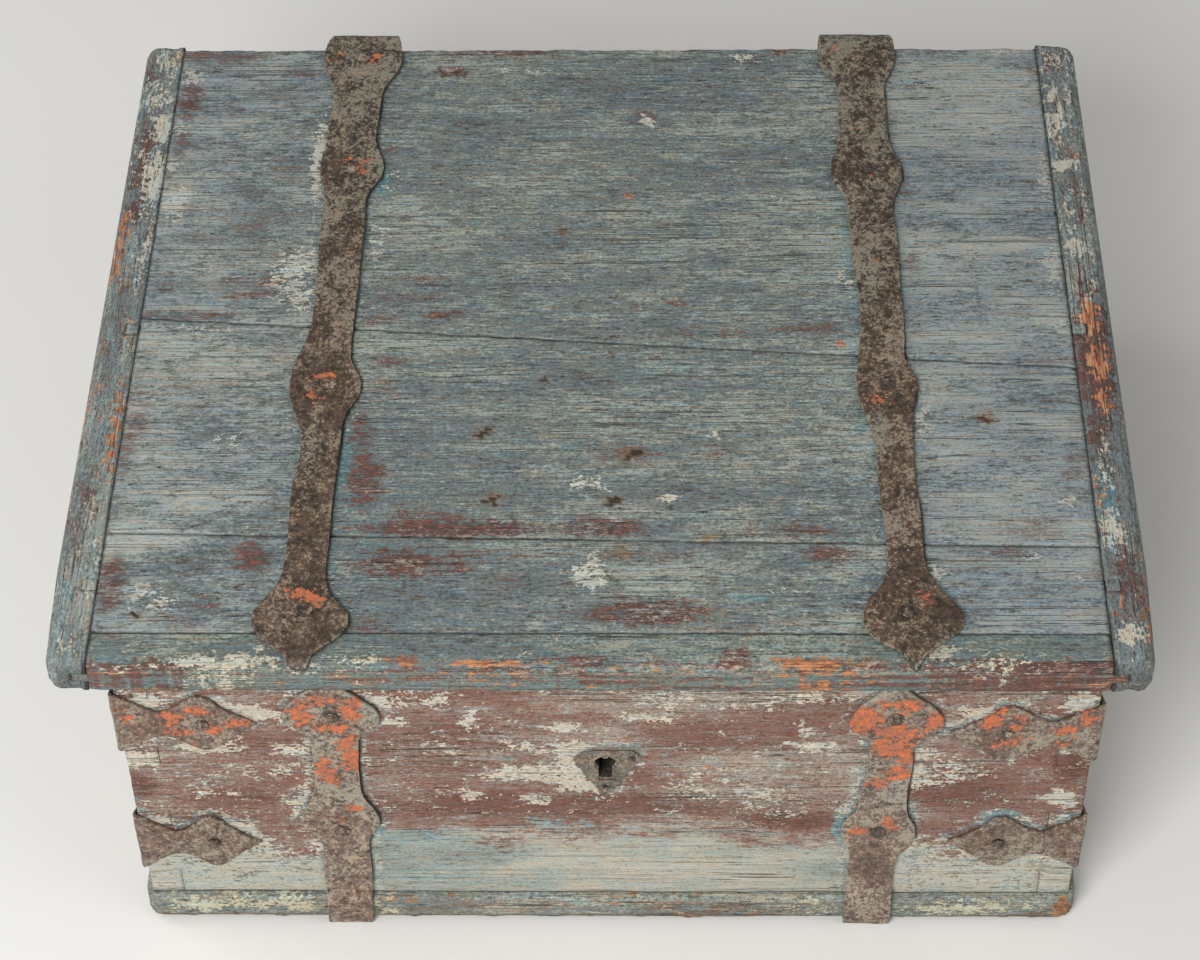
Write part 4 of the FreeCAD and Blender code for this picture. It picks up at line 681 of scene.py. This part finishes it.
wall_iron = iron_material(
    "wall iron", {"Rust": (122, 99, 86), "Rust Dark": (88, 70, 60), "Rust Light": (146, 122, 108),
                  "Scale": (152, 153, 140)}, 0.3, turn=(0.0, QUARTER, 0.0),
)
PRIMER_MARKS = {
    "front_strap_left": [
        (-170, 203, 6, 12, 1.0), (-158, 214, 10, 5, 0.9), (-141, 206, 6, 11, 1.0), (-152, 190, 12, 6, 0.8),
        (-145, 168, 5, 18, 1.0), (-160, 150, 5, 12, 1.0), (-141, 155, 3, 10, 1.0), (-154, 140, 4, 5, 0.8),
        (-147, 113, 6, 4, 0.8), (-152, 104, 6, 4, 0.5),
    ],
    "front_strap_right": [
        (150, 197, 10, 12, 1.1), (170, 212, 14, 5, 0.9), (190, 196, 7, 9, 1.0), (168, 186, 14, 7, 1.1),
        (166, 172, 10, 9, 1.0), (176, 165, 5, 12, 1.0), (170, 147, 9, 6, 1.0), (160, 137, 7, 5, 0.9),
        (152, 92, 6, 5, 1.0), (170, 98, 4, 8, 0.8), (178, 205, 10, 8, 0.5),
    ],
    "corner_strap_front_left_upper": [
        (-228, 203, 9, 5, 0.9), (-245, 197, 7, 7, 1.0), (-222, 188, 8, 5, 1.0), (-205, 192, 9, 4, 1.0),
        (-240, 184, 8, 4, 0.8), (-271, 200, 3, 9, 1.0), (-232, 172, 12, 3, 0.5),
    ],
    "corner_strap_front_right_upper": [
        (222, 195, 6, 9, 1.0), (238, 194, 5, 8, 1.0), (232, 178, 9, 6, 0.9), (265, 187, 7, 5, 1.0),
        (276, 199, 5, 8, 1.0), (264, 176, 7, 4, 0.9), (228, 206, 8, 4, 0.6),
    ],
    "corner_strap_front_left_lower": [(-215, 70, 8, 5, 0.35)],
}
RIM_TURN = 0.8
for side in ("left", "right"):
    name = f"front_strap_{side}"
    piece = forged(name, 1.3 * MM)
    x, y, z = points_of(piece).T
    lay(piece, "specks", np.where(z > 110, 0.6, 0.25))
    lay(piece, "specks", 1.2 * (np.abs(normals_of(piece)[:, 1]) < RIM_TURN))
    spots(piece, "primer", 0, 2, PRIMER_MARKS[name], 1.2)
    lay(piece, "grime", 0.4 * fade(z - wall_z, 4))
    dress(piece, wall_iron, "chest")

# Hinge leaves and pins: each back strap stands up the wall to two rolled knuckles, and a round
# pin runs through them and the middle knuckle of the lid strap that hangs between them.
for side in ("left", "right"):
    dress(forged(f"back_strap_{side}", 1.6 * MM), wall_iron, "chest")
    dress(forged(f"hinge_pin_{side}", 0.9 * MM), wall_iron, "chest")

# Corner irons: wrought-iron straps with a neck, a leaf and a point at each end. They are bent
# round the corners and nailed over the dovetails.
corner_iron = iron_material(
    "corner iron", {"Rust": (118, 94, 80), "Rust Dark": (86, 67, 57), "Rust Light": (140, 117, 102),
                    "Scale": (144, 148, 136)}, 0.6,
)
for name in END_IRONS[1:]:
    piece = forged(name, 1.3 * MM)
    if name in PRIMER_MARKS:
        spots(piece, "primer", 0, 2, PRIMER_MARKS[name])
    dress(piece, corner_iron, "chest")

# Nails: hand-forged iron with square shanks and low hammered heads. They hold the irons and
# the lock, and draw the bottom boards up to the walls.
nail_iron = iron_material("nail iron", {"Rust": (84, 70, 60), "Rust Dark": (52, 42, 37)}, 0.3)
for name in ("front_strap_nails", "back_strap_nails", "corner_strap_nails", "escutcheon_nails",
             "bottom_nails", "lock_nails"):
    piece = forged(name, 0.7 * MM if "strap" in name else 0.5 * MM, 2)
    dress(piece, nail_iron, "chest")

# Lock: a plate with guides on the inside of the front board, a sheet case over the works, a
# drill pin that the key turns on, a ward, a spring, and the bolt that slides in the guides.
lock_iron = iron_material(
    "lock iron", {"Rust": (66, 58, 52), "Rust Dark": (42, 37, 34), "Scale": (92, 88, 82)}, 0.0,
    metallic=0.45,
)
# The drill pin's pale colour is worn bare iron, lightened as a painted highlight for the glint on its tip.
pin_iron_with_painted_glint = iron_material(
    "drill pin iron", {"Rust": (150, 146, 138), "Rust Dark": (104, 98, 92), "Scale": (176, 172, 162)}, 0.2,
    metallic=0.5, bump=0.4 * MM,
)
for name in ("lock_plate", "lock_case", "lock_ward", "lock_spring", "lock_bolt"):
    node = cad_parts[name]
    node.data.materials.clear()
    node.data.materials.append(lock_iron)
dress(forged("drill_pin", 0.5 * MM, 4), pin_iron_with_painted_glint, "chest")

# Escutcheon: a thin iron plate like a triangle on its point, cut through round the keyhole
# and held by small nails.
plate_iron = iron_material(
    "escutcheon iron", {"Rust": (108, 102, 90), "Rust Dark": (82, 76, 68), "Rust Light": (124, 120, 108),
                        "Scale": (138, 138, 124)}, 0.45)
dress(forged("escutcheon", 0.6 * MM), plate_iron, "chest")

# Handles: on each end a bail of round iron that swings in two eyes. Each eye is driven through
# a round iron plate and the board.
for name in ("handle_plates", "handle_eyes"):
    dress(forged(name, 0.9 * MM), corner_iron, "chest")
for side in ("left", "right"):
    dress(forged(f"handle_bail_{side}", 0.8 * MM), corner_iron, f"handle_{side}")

# Lid: three tapered pine planks and a rounded nosing, tongued into a cleat at each end.
# Blue-grey paint is rubbed through to red-brown and cream along the grain and the edges.
lid_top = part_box("lid_board_back")[1].z / MM
lid_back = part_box("lid_board_back")[1].y / MM
PAINTED_DEPTH = 14
lid_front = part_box("lid_nosing")[0].y / MM
plank_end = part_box("lid_cleat_right")[0].x / MM
LID_STRAPS = ["lid_strap_left", "lid_strap_right"]
LID_STRAP_MIDDLES = (-148, 182)
lid_paint = paint_material(
    "lid paint",
    {"Coat": (104, 116, 117), "Coat Dark": (84, 83, 76), "Pale": (158, 166, 156), "Teal": (80, 122, 126),
     "Coat Green": (114, 120, 110), "Under": (112, 68, 56), "Under Dark": (72, 52, 44),
     "Wood": (190, 134, 92), "Flake": (190, 190, 174), "Raw": (144, 118, 88), "Raw Dark": (100, 78, 56),
     "Second Coat": (112, 124, 130)},
    {"Worn": 0.15, "Cream": 0.1},
)
# Patches on the lid: middle across and along, two radii, and a strength. The knots are the
# rust-stained heads of nails in the planks.
LID_MARKS = {
    "worn": [
        (-257, 250, 30, 8, 0.9), (-275, 207, 8, 24, 1.1), (-275, 161, 6, 18, 0.8), (-203, 236, 13, 7, 0.8),
        (-219, 215, 15, 9, 0.6), (-238, 192, 26, 7, 0.4), (-203, 142, 15, 15, 0.7), (-223, 92, 24, 17, 0.6),
        (-242, 73, 32, 13, 0.5), (-223, 63, 27, 9, 0.6), (-221, 28, 27, 14, 0.9), (-257, 34, 26, 9, 0.5),
        (-253, 4, 32, 5, 1.0), (-196, -31, 10, 13, 0.8), (-253, -54, 32, 13, 0.6), (-278, -85, 9, 22, 0.9),
        (-242, -73, 18, 7, 0.6), (-265, -104, 13, 13, 0.4), (-190, -150, 6, 15, 0.8),
        (-280, -115, 5, 15, 0.6), (-198, -193, 12, 14, 1.1), (-276, -212, 8, 22, 1.1),
        (-223, -229, 13, 6, 0.8), (-236, -243, 16, 5, 0.9), (-103, 236, 13, 6, 1.2), (-130, 238, 8, 5, 0.8),
        (-69, 255, 42, 4, 0.9), (-140, 157, 10, 5, 0.7), (-117, 34, 26, 6, 0.7), (-123, 19, 30, 6, 0.7),
        (-96, 4, 15, 5, 1.0), (-140, 0, 13, 6, 0.8), (-130, -35, 13, 6, 0.8), (-130, -62, 13, 13, 0.5),
        (-142, -97, 9, 22, 0.9), (-138, -135, 12, 25, 1.1), (-100, -162, 32, 6, 0.8),
        (-84, -172, 62, 7, 1.2), (-115, -198, 30, 12, 1.1), (-84, -202, 17, 7, 0.9),
        (-69, -193, 30, 6, 0.7), (-50, -212, 20, 6, 0.7), (-130, -246, 22, 5, 0.8),
        (-11, -170, 14, 11, 0.9), (24, 188, 12, 7, 0.9), (99, 242, 7, 4, 0.9), (114, 257, 8, 4, 0.9),
        (78, 130, 42, 11, 0.3), (45, 15, 9, 4, 0.8), (18, 13, 7, 3, 0.8), (60, -12, 42, 4, 0.7),
        (122, -8, 30, 6, 0.8), (6, -31, 3, 6, 0.9), (32, -35, 20, 3, 0.7), (18, -112, 25, 9, 0.7),
        (70, -110, 12, 7, 0.6), (110, -173, 38, 6, 0.8), (6, -170, 25, 8, 1.1), (22, -193, 32, 7, 0.7),
        (130, -191, 19, 8, 1.0), (26, -235, 38, 11, 1.1), (91, -246, 60, 5, 0.6), (199, 215, 5, 9, 0.9),
        (189, 192, 4, 6, 0.8), (218, 258, 8, 4, 0.8), (281, 234, 5, 13, 0.9), (280, 207, 6, 6, 0.9),
        (249, 150, 22, 3, 0.5), (218, 119, 24, 7, 0.4), (191, 119, 4, 20, 0.9), (191, 50, 4, 15, 0.9),
        (193, -12, 9, 5, 0.8), (260, -35, 25, 3, 0.8), (256, -43, 22, 4, 0.7), (280, -85, 6, 6, 0.8),
        (278, -120, 8, 15, 0.9), (268, -135, 9, 9, 0.8), (251, -170, 24, 9, 1.0), (206, -168, 9, 5, 0.8),
        (233, -191, 36, 7, 0.9), (214, -200, 19, 6, 0.8), (216, -233, 8, 5, 0.9), (281, -202, 5, 9, 0.8),
    ],
    "cream": [
        (-276, 230, 8, 9, 0.9), (-278, 180, 7, 8, 1.0), (-280, 142, 6, 9, 0.9), (-274, 107, 8, 18, 1.1),
        (-268, 116, 8, 5, 0.9), (-187, 150, 5, 46, 0.9), (-197, 42, 14, 28, 0.95), (-192, 20, 10, 20, 0.9),
        (-232, 173, 5, 4, 0.9), (-246, -8, 30, 6, 0.7), (-221, -102, 10, 6, 0.9),
        (-253, -223, 17, 13, 0.85), (-134, 127, 7, 15, 0.7), (-142, 75, 6, 22, 0.7),
        (-61, 100, 32, 13, 0.35), (-9, -137, 13, 8, 0.9), (-6, -206, 10, 15, 1.1), (-50, 238, 42, 4, 0.6),
        (-15, 34, 22, 13, 0.3), (26, 185, 4, 6, 1.5), (89, 249, 10, 5, 1.2), (106, 111, 9, 4, 0.8),
        (103, 138, 9, 3, 0.6), (68, -98, 4, 3, 1.4), (39, -148, 6, 5, 1.2), (1, -139, 7, 5, 0.9),
        (147, 34, 5, 12, 0.7), (191, -89, 6, 16, 0.8), (193, -150, 5, 12, 0.7), (193, -202, 7, 7, 0.8),
        (278, 48, 8, 30, 0.9), (280, 130, 6, 26, 0.8), (264, 255, 16, 5, 0.9), (270, -150, 5, 4, 1.3),
        (243, -193, 7, 5, 1.1), (269, -208, 5, 5, 0.8), (222, 4, 36, 7, 0.35), (249, -8, 36, 6, 0.4),
        (278, -8, 9, 9, 0.8), (93, -218, 21, 5, 0.6), (232, 60, 40, 60, 0.12), (230, 200, 40, 40, 0.12),
    ],
    "teals": [
        (-82, 86, 4, 4, 2.0), (-19, -108, 6, 3, 1.8), (-130, -187, 19, 6, 1.2), (-142, 123, 5, 18, 1.4),
        (-282, -220, 5, 10, 1.4), (-150, -120, 4, 20, 0.9), (33, -43, 32, 3, 1.2), (241, 65, 14, 4, 1.2),
        (91, -223, 26, 6, 1.2), (0, 60, 120, 60, 0.35), (60, -60, 80, 40, 0.3), (147, 30, 6, 80, 0.8),
        (150, -110, 6, 40, 0.9), (-20, 150, 60, 40, 0.25),
    ],
    "bare": [
        (103, -142, 26, 14, 0.55), (33, 119, 26, 9, 0.4), (13, 113, 2.6, 2.6, 1.5), (144, -21, 3, 3, 1.5),
        (72, -236, 22, 2.5, 0.9), (-96, 4, 12, 3, 0.6), (-253, 3, 26, 2.5, 0.6), (-147, 50, 3, 9, 0.9),
        (-34, -52, 3, 3, 0.7),
    ],
}
LID_KNOTS = [
    (-70, -95, 4, 3.4, 0.9), (-63, -150, 5, 3.5, 0.8), (18, -113, 5, 4.5, 0.9), (8, -150, 5, 3.5, 0.7),
    (-34, -52, 3.4, 2.8, 0.5), (228, -84, 4, 4, 0.8), (60, -178, 3, 3, 0.7), (14, -190, 4, 3, 0.6),
    (-259, -236, 2.4, 2.0, 0.9), (-28, 78, 3.5, 3, 0.6),
]
LID_GRIME = [
    (-34, -52, 3, 3, 0.55), (-70, -95, 4, 4, 0.6), (-63, -150, 5, 3.5, 0.6), (-28, 78, 3, 4, 0.4),
    (18, -113, 5, 5, 0.6), (280, 92, 1.5, 2.5, 0.7), (228, -84, 3.5, 3.5, 0.5), (8, -150, 4, 5, 0.6),
    (-259, -236, 1.6, 1.4, 0.8),
]
for name in ("lid_board_back", "lid_board_middle", "lid_board_front"):
    board = worn_board(name, ("Z",), 1.3 * MM, lambda at: at[:, 1] > lid_back - 2)
    x, y, z = points_of(board).T
    lay(board, "unpainted", z < lid_top - PAINTED_DEPTH)
    spots(board, "unpainted", 0, 1, LID_KNOTS, 1.7)
    seam = points_on_arris(board) & (y < lid_back - 2)
    lay(board, "grime", 0.52 * seam)
    mark(board, 0, 1, LID_MARKS)
    spots(board, "grime", 0, 1, LID_GRIME, 1.5)
    gap = distance_to(board, LID_STRAPS)
    end = plank_end - np.abs(x)
    lay(board, "cream", 0.45 * fade(gap - 3, 3) + 0.18 * fade(end, 12))
    lay(board, "teals", 0.9 * fade(gap - 2, 4))
    faded = np.interp(x, (-290, -170, -120, 110, 170, 290), (0.5, 0.4, 0.0, 0.0, 0.5, 0.6))
    lay(board, "second", faded)
    lay(board, "worn", 0.3 * fade(end, 10) + 0.2 * fade(lid_back - y, 8))
    # Painted shadow: a dark line beside the lid straps, heavier on the right of each strap, where their
    # shadow falls.
    right = np.abs(x - np.where(x < 0, *LID_STRAP_MIDDLES)) < 16
    lay(board, "grime", np.where(right, 0.7, 0.25) * fade(gap, 1.3))
    chalky = np.interp(x, (-290, -170, -100, 100, 180, 280), (0.35, 0.3, -0.1, 0.0, 0.6, 0.8))
    lay(board, "dry", chalky)
    dress(board, lid_paint, "lid")

nosing_paint = paint_material(
    "nosing paint",
    {"Coat": (102, 114, 114), "Coat Dark": (82, 84, 78), "Pale": (160, 164, 150), "Teal": (78, 128, 132),
     "Coat Green": (98, 112, 104), "Under": (114, 70, 58), "Under Dark": (78, 54, 48),
     "Wood": (180, 126, 84), "Flake": (180, 176, 156), "Raw": (144, 118, 88), "Raw Dark": (100, 78, 56)},
    {"Teals": 0.3, "Worn": 0.35, "Dry": -0.1, "Bare": -0.05},
)
NOSING_FREE = 12
board = worn_board("lid_nosing", ("Z",), 1.6 * MM, lambda at: at[:, 1] < lid_front + NOSING_FREE)
x, y, z = points_of(board).T
lay(board, "unpainted", (z < seat_z + 2) & (y > lid_front + 14))
mark(board, 0, 1, {
    "cream": [
        (-210, -268, 28, 6, 1.0), (-252, -262, 20, 6, 0.6), (-130, -268, 16, 5, 0.8),
        (-180, -258, 12, 6, 0.7), (222, -268, 34, 6, 0.9), (190, -262, 12, 8, 0.8), (-90, -260, 20, 5, 0.5),
        (-20, -252, 14, 4, 0.7), (80, -262, 16, 4, 0.5), (-45, -266, 12, 4, 0.7), (255, -258, 16, 8, 0.5),
    ],
    "worn": [(76, -266, 8, 5, 1.2), (-165, -262, 10, 8, 0.8), (240, -272, 50, 4, 0.7),
             (-20, -268, 40, 4, 0.4), (-255, -272, 40, 3, 0.6)],
    "bare": [(122, -270, 24, 4, 1.0), (-107, -268, 10, 4, 1.0), (-20, -262, 70, 3, 0.45),
             (230, -266, 26, 3, 0.5), (-60, -270, 20, 3, 0.6)],
})
band = np.clip((lid_front + 9 - y) / 6, 0, 1) * (z > seat_z + 1)
ripple = np.sin(z * 1.7 + 2.2 * np.sin(x / 37)) * 0.5
ripple += np.sin(z * 0.9 + 3 * np.sin(x / 61) + 1.3) * 0.5
lay(board, "bare", band * (0.45 + 0.55 * ripple))
toward_right = np.interp(x, (-290, 60, 290), (0.5, 1.0, 1.5))
lay(board, "worn", band * (0.45 - 0.45 * ripple) * toward_right)
lay(board, "cream", band * np.interp(x, (-290, -150, 100), (0.55, 0.3, 0.1)))
gap = distance_to(board, LID_STRAPS)
lay(board, "cream", 0.5 * fade(gap - 3, 4))
# Painted shade: a narrow dark line where the lid straps meet the nosing.
lay(board, "grime", 0.5 * fade(gap, 1.4))
lay(board, "grime", 0.75 * (points_on_arris(board) & (y > lid_front + NOSING_FREE)))
dress(board, nosing_paint, "lid")

# Cleats: end strips across the planks, their outer edge rounded and bowed by wear, with
# dark end grain at both ends. Square pegs lock them to the tongues.
cleat_paint = paint_material(
    "cleat paint",
    {"Coat": (108, 117, 117), "Coat Dark": (80, 80, 76), "Pale": (166, 168, 156), "Teal": (84, 126, 136),
     "Coat Green": (106, 122, 118), "Under": (106, 68, 58), "Under Dark": (72, 52, 46),
     "Wood": (188, 132, 92), "Flake": (184, 184, 168), "Raw": (134, 108, 82), "Raw Dark": (82, 64, 50)},
    {"Worn": 0.55, "Cream": 0.3, "Bare": 0.3, "Teals": 0.4},
    turn=(0.0, 0.0, QUARTER),
)
CLEAT_MARKS = {
    "left": {
        "cream": [(-290, 185, 6, 22, 0.9), (-290, 130, 6, 30, 0.9), (-294, 245, 8, 8, 0.4),
                  (-288, 60, 4, 30, 0.7), (-300, 215, 5, 14, 0.5), (-288, -60, 4, 40, 0.3),
                  (-297, -255, 8, 12, 0.4), (-288, -200, 4, 30, 0.4)],
        "bare": [(-289, -90, 3, 48, 1.0), (-306, 70, 4, 40, 0.9), (-287, 250, 3, 8, 0.8),
                 (-288, -10, 3, 20, 0.5), (-308, -60, 3, 60, 0.5)],
        "worn": [(-299, 150, 8, 40, 0.6), (-304, 230, 7, 14, 0.5), (-300, 0, 8, 60, 0.3),
                 (-300, -160, 8, 40, 0.4), (-299, 100, 4, 16, 0.8)],
        "teals": [(-290, 200, 4, 12, 1.2), (-300, -210, 8, 30, 0.8), (-292, 160, 4, 8, 1.2)],
    },
    "right": {
        "cream": [(291, 190, 6, 26, 0.6), (293, 142, 6, 6, 1.1), (293, 64, 6, 8, 1.1), (291, 95, 5, 20, 0.5),
                  (293, -120, 5, 24, 0.7), (293, -172, 6, 16, 0.9), (296, -248, 8, 10, 0.9),
                  (296, 250, 8, 8, 0.4), (303, 30, 4, 20, 0.4)],
        "bare": [(297, 2, 5, 14, 1.1), (298, -35, 7, 16, 1.3), (298, -70, 4, 12, 1.2), (291, 165, 5, 6, 0.8),
                 (300, 152, 4, 8, 0.8), (289, -140, 2.5, 30, 0.7), (291, -230, 3, 12, 0.8),
                 (306, -230, 3, 30, 0.8)],
        "worn": [(296, -30, 10, 60, 1.0), (292, 245, 6, 10, 0.6), (298, -210, 6, 24, 0.7),
                 (292, -95, 5, 20, 0.9), (300, 120, 6, 40, 0.4)],
        "teals": [(293, -150, 6, 50, 0.9), (293, 90, 6, 50, 0.6), (291, -40, 3, 30, 0.8)],
    },
}
for side in ("left", "right"):
    name = f"lid_cleat_{side}"
    board = worn_board(name, ("Z",), 2.2 * MM, lambda at: np.abs(at[:, 0]) > plank_end + 3)
    x, y, z = points_of(board).T
    mark(board, 0, 1, CLEAT_MARKS[side])
    lay(board, "unpainted", z < seat_z + 2)
    ends = np.minimum(y.max() - y, y - lid_front)
    lay(board, "grime", 0.45 * fade(ends, 4))
    lay(board, "grime", 0.5 * (np.abs(x) < plank_end + 1))
    lay(board, "cream", 0.3 * np.clip(y / 150, 0, 1))
    dress(board, cleat_paint, "lid")
pegs = remeshed("lid_cleat_pegs_worn", "lid_cleat_pegs", 0.8 * MM, 2)
lay(pegs, "unpainted", points_of(pegs)[:, 2] < seat_z + 2)
dress(pegs, cleat_paint, "lid")

# Lid straps: long straps with two swells and a spade end that curls over the nosing. Behind
# the lid each curls down to one knuckle. They and their nails are the darkest, smoothest iron.
lid_iron = iron_material(
    "lid strap iron", {"Rust": (90, 72, 58), "Rust Dark": (60, 48, 39), "Rust Light": (114, 96, 80),
                       "Scale": (136, 137, 124)}, 0.35,
    turn=(0.0, 0.0, QUARTER),
)
LID_PRIMER = {
    "left": [(-183, 247, 4, 4, 0.9), (-156, 244, 5, 4, 0.9), (-158, 137, 5, 8, 0.9),
             (-168, 143, 3, 3, 0.9), (-166, -53, 6, 4, 1.0), (-174, -69, 5, 4, 1.0),
             (-168, -224, 7, 5, 1.1), (-160, -230, 5, 8, 1.1)],
    "right": [(150, 253, 4, 3, 0.6), (165, 250, 6, 3, 0.6), (166, 129, 3, 2.5, 0.8), (163, -71, 5, 3, 1.0),
              (183, -228, 3, 6, 0.8), (174, -223, 4, 3, 0.6), (170, 50, 2, 6, 0.5)],
}
for side in ("left", "right"):
    name = f"lid_strap_{side}"
    piece = forged(name, 1.25 * MM)
    x, y, z = points_of(piece).T
    lay(piece, "specks", 0.6 * np.clip((y + 60) / 200, 0, 1))
    lay(piece, "specks", 0.8 * (np.abs(normals_of(piece)[:, 2]) < RIM_TURN))
    spots(piece, "specks", 0, 1, [(163, -98, 6, 16, 0.9), (163, 30, 7, 20, 0.8), (-170, -120, 6, 40, 0.5)])
    spots(piece, "primer", 0, 1, LID_PRIMER[side])
    dress(piece, lid_iron, "lid")
dress(forged("lid_strap_nails", 0.7 * MM, 2), nail_iron, "lid")

# Staple: the iron loop under the lid that the bolt enters, on a small plate nailed to the
# underside of the front plank.
dress(forged("lock_staple", 0.9 * MM), lock_iron, "lid")
dress(forged("staple_nails", 0.5 * MM, 2), lock_iron, "lid")

# Studio: a pale paper floor, a large soft light from the front left, a small one from the left
# and a weak fill from the right. The camera stands above the front and looks down.
bpy.ops.mesh.primitive_plane_add(size=9.0, location=(0.0, 1.0, 0.0))
floor = bpy.context.active_object
floor.name = "studio_floor"
floor_material = bpy.data.materials.new("pale paper")
floor_material.use_nodes = True
shader = floor_material.node_tree.nodes["Principled BSDF"]
shader.inputs["Base Color"].default_value = tint(226, 225, 222)
shader.inputs["Roughness"].default_value = 0.7
shader.inputs["Specular IOR Level"].default_value = 0.2
floor.data.materials.append(floor_material)

world = bpy.data.worlds.new("studio air")
bpy.context.scene.world = world
world.use_nodes = True
world.node_tree.nodes["Background"].inputs["Color"].default_value = tint(248, 246, 243)
world.node_tree.nodes["Background"].inputs["Strength"].default_value = 0.36


def soft_light(name, place, aim, size, power):
    """A square area light that faces a point."""
    data = bpy.data.lights.new(name, "AREA")
    data.size = size
    data.energy = power
    light = bpy.data.objects.new(name, data)
    bpy.context.scene.collection.objects.link(light)
    light.location = place
    light.rotation_euler = (Vector(aim) - Vector(place)).to_track_quat("-Z", "Y").to_euler()


soft_light("key", (-0.78, -2.08, 1.85), (0.0, 0.0, 0.1), 1.2, 66.0)
soft_light("side", (-1.80, 0.50, 1.20), (-0.7, 0.35, 0.0), 1.2, 11.0)
soft_light("fill", (1.6, -1.0, 1.5), (0.3, 0.0, 0.1), 1.6, 9.0)

bpy.context.scene.view_settings.view_transform = "Standard"
camera_data = bpy.data.cameras.new("camera")
camera_data.sensor_fit = "HORIZONTAL"
camera_data.sensor_width = 36.0
camera_data.lens = 92.52
camera = bpy.data.objects.new("camera", camera_data)
bpy.context.scene.collection.objects.link(camera)
CAMERA_PLACE = (0.033, -1.35268, 1.57352)
PITCH, YAW, ROLL = (math.radians(angle) for angle in (47.236, -1.590, -1.146))
ahead = Vector((math.sin(YAW) * math.cos(PITCH), math.cos(YAW) * math.cos(PITCH), -math.sin(PITCH)))
level = Vector((math.cos(YAW), -math.sin(YAW), 0.0))
above = level.cross(ahead)
rightward = math.cos(ROLL) * level + math.sin(ROLL) * above
upward = -math.sin(ROLL) * level + math.cos(ROLL) * above
camera.matrix_world = Matrix.Translation(CAMERA_PLACE) @ Matrix((
    (rightward.x, upward.x, -ahead.x, 0), (rightward.y, upward.y, -ahead.y, 0),
    (rightward.z, upward.z, -ahead.z, 0), (0, 0, 0, 1)))
bpy.context.scene.camera = camera
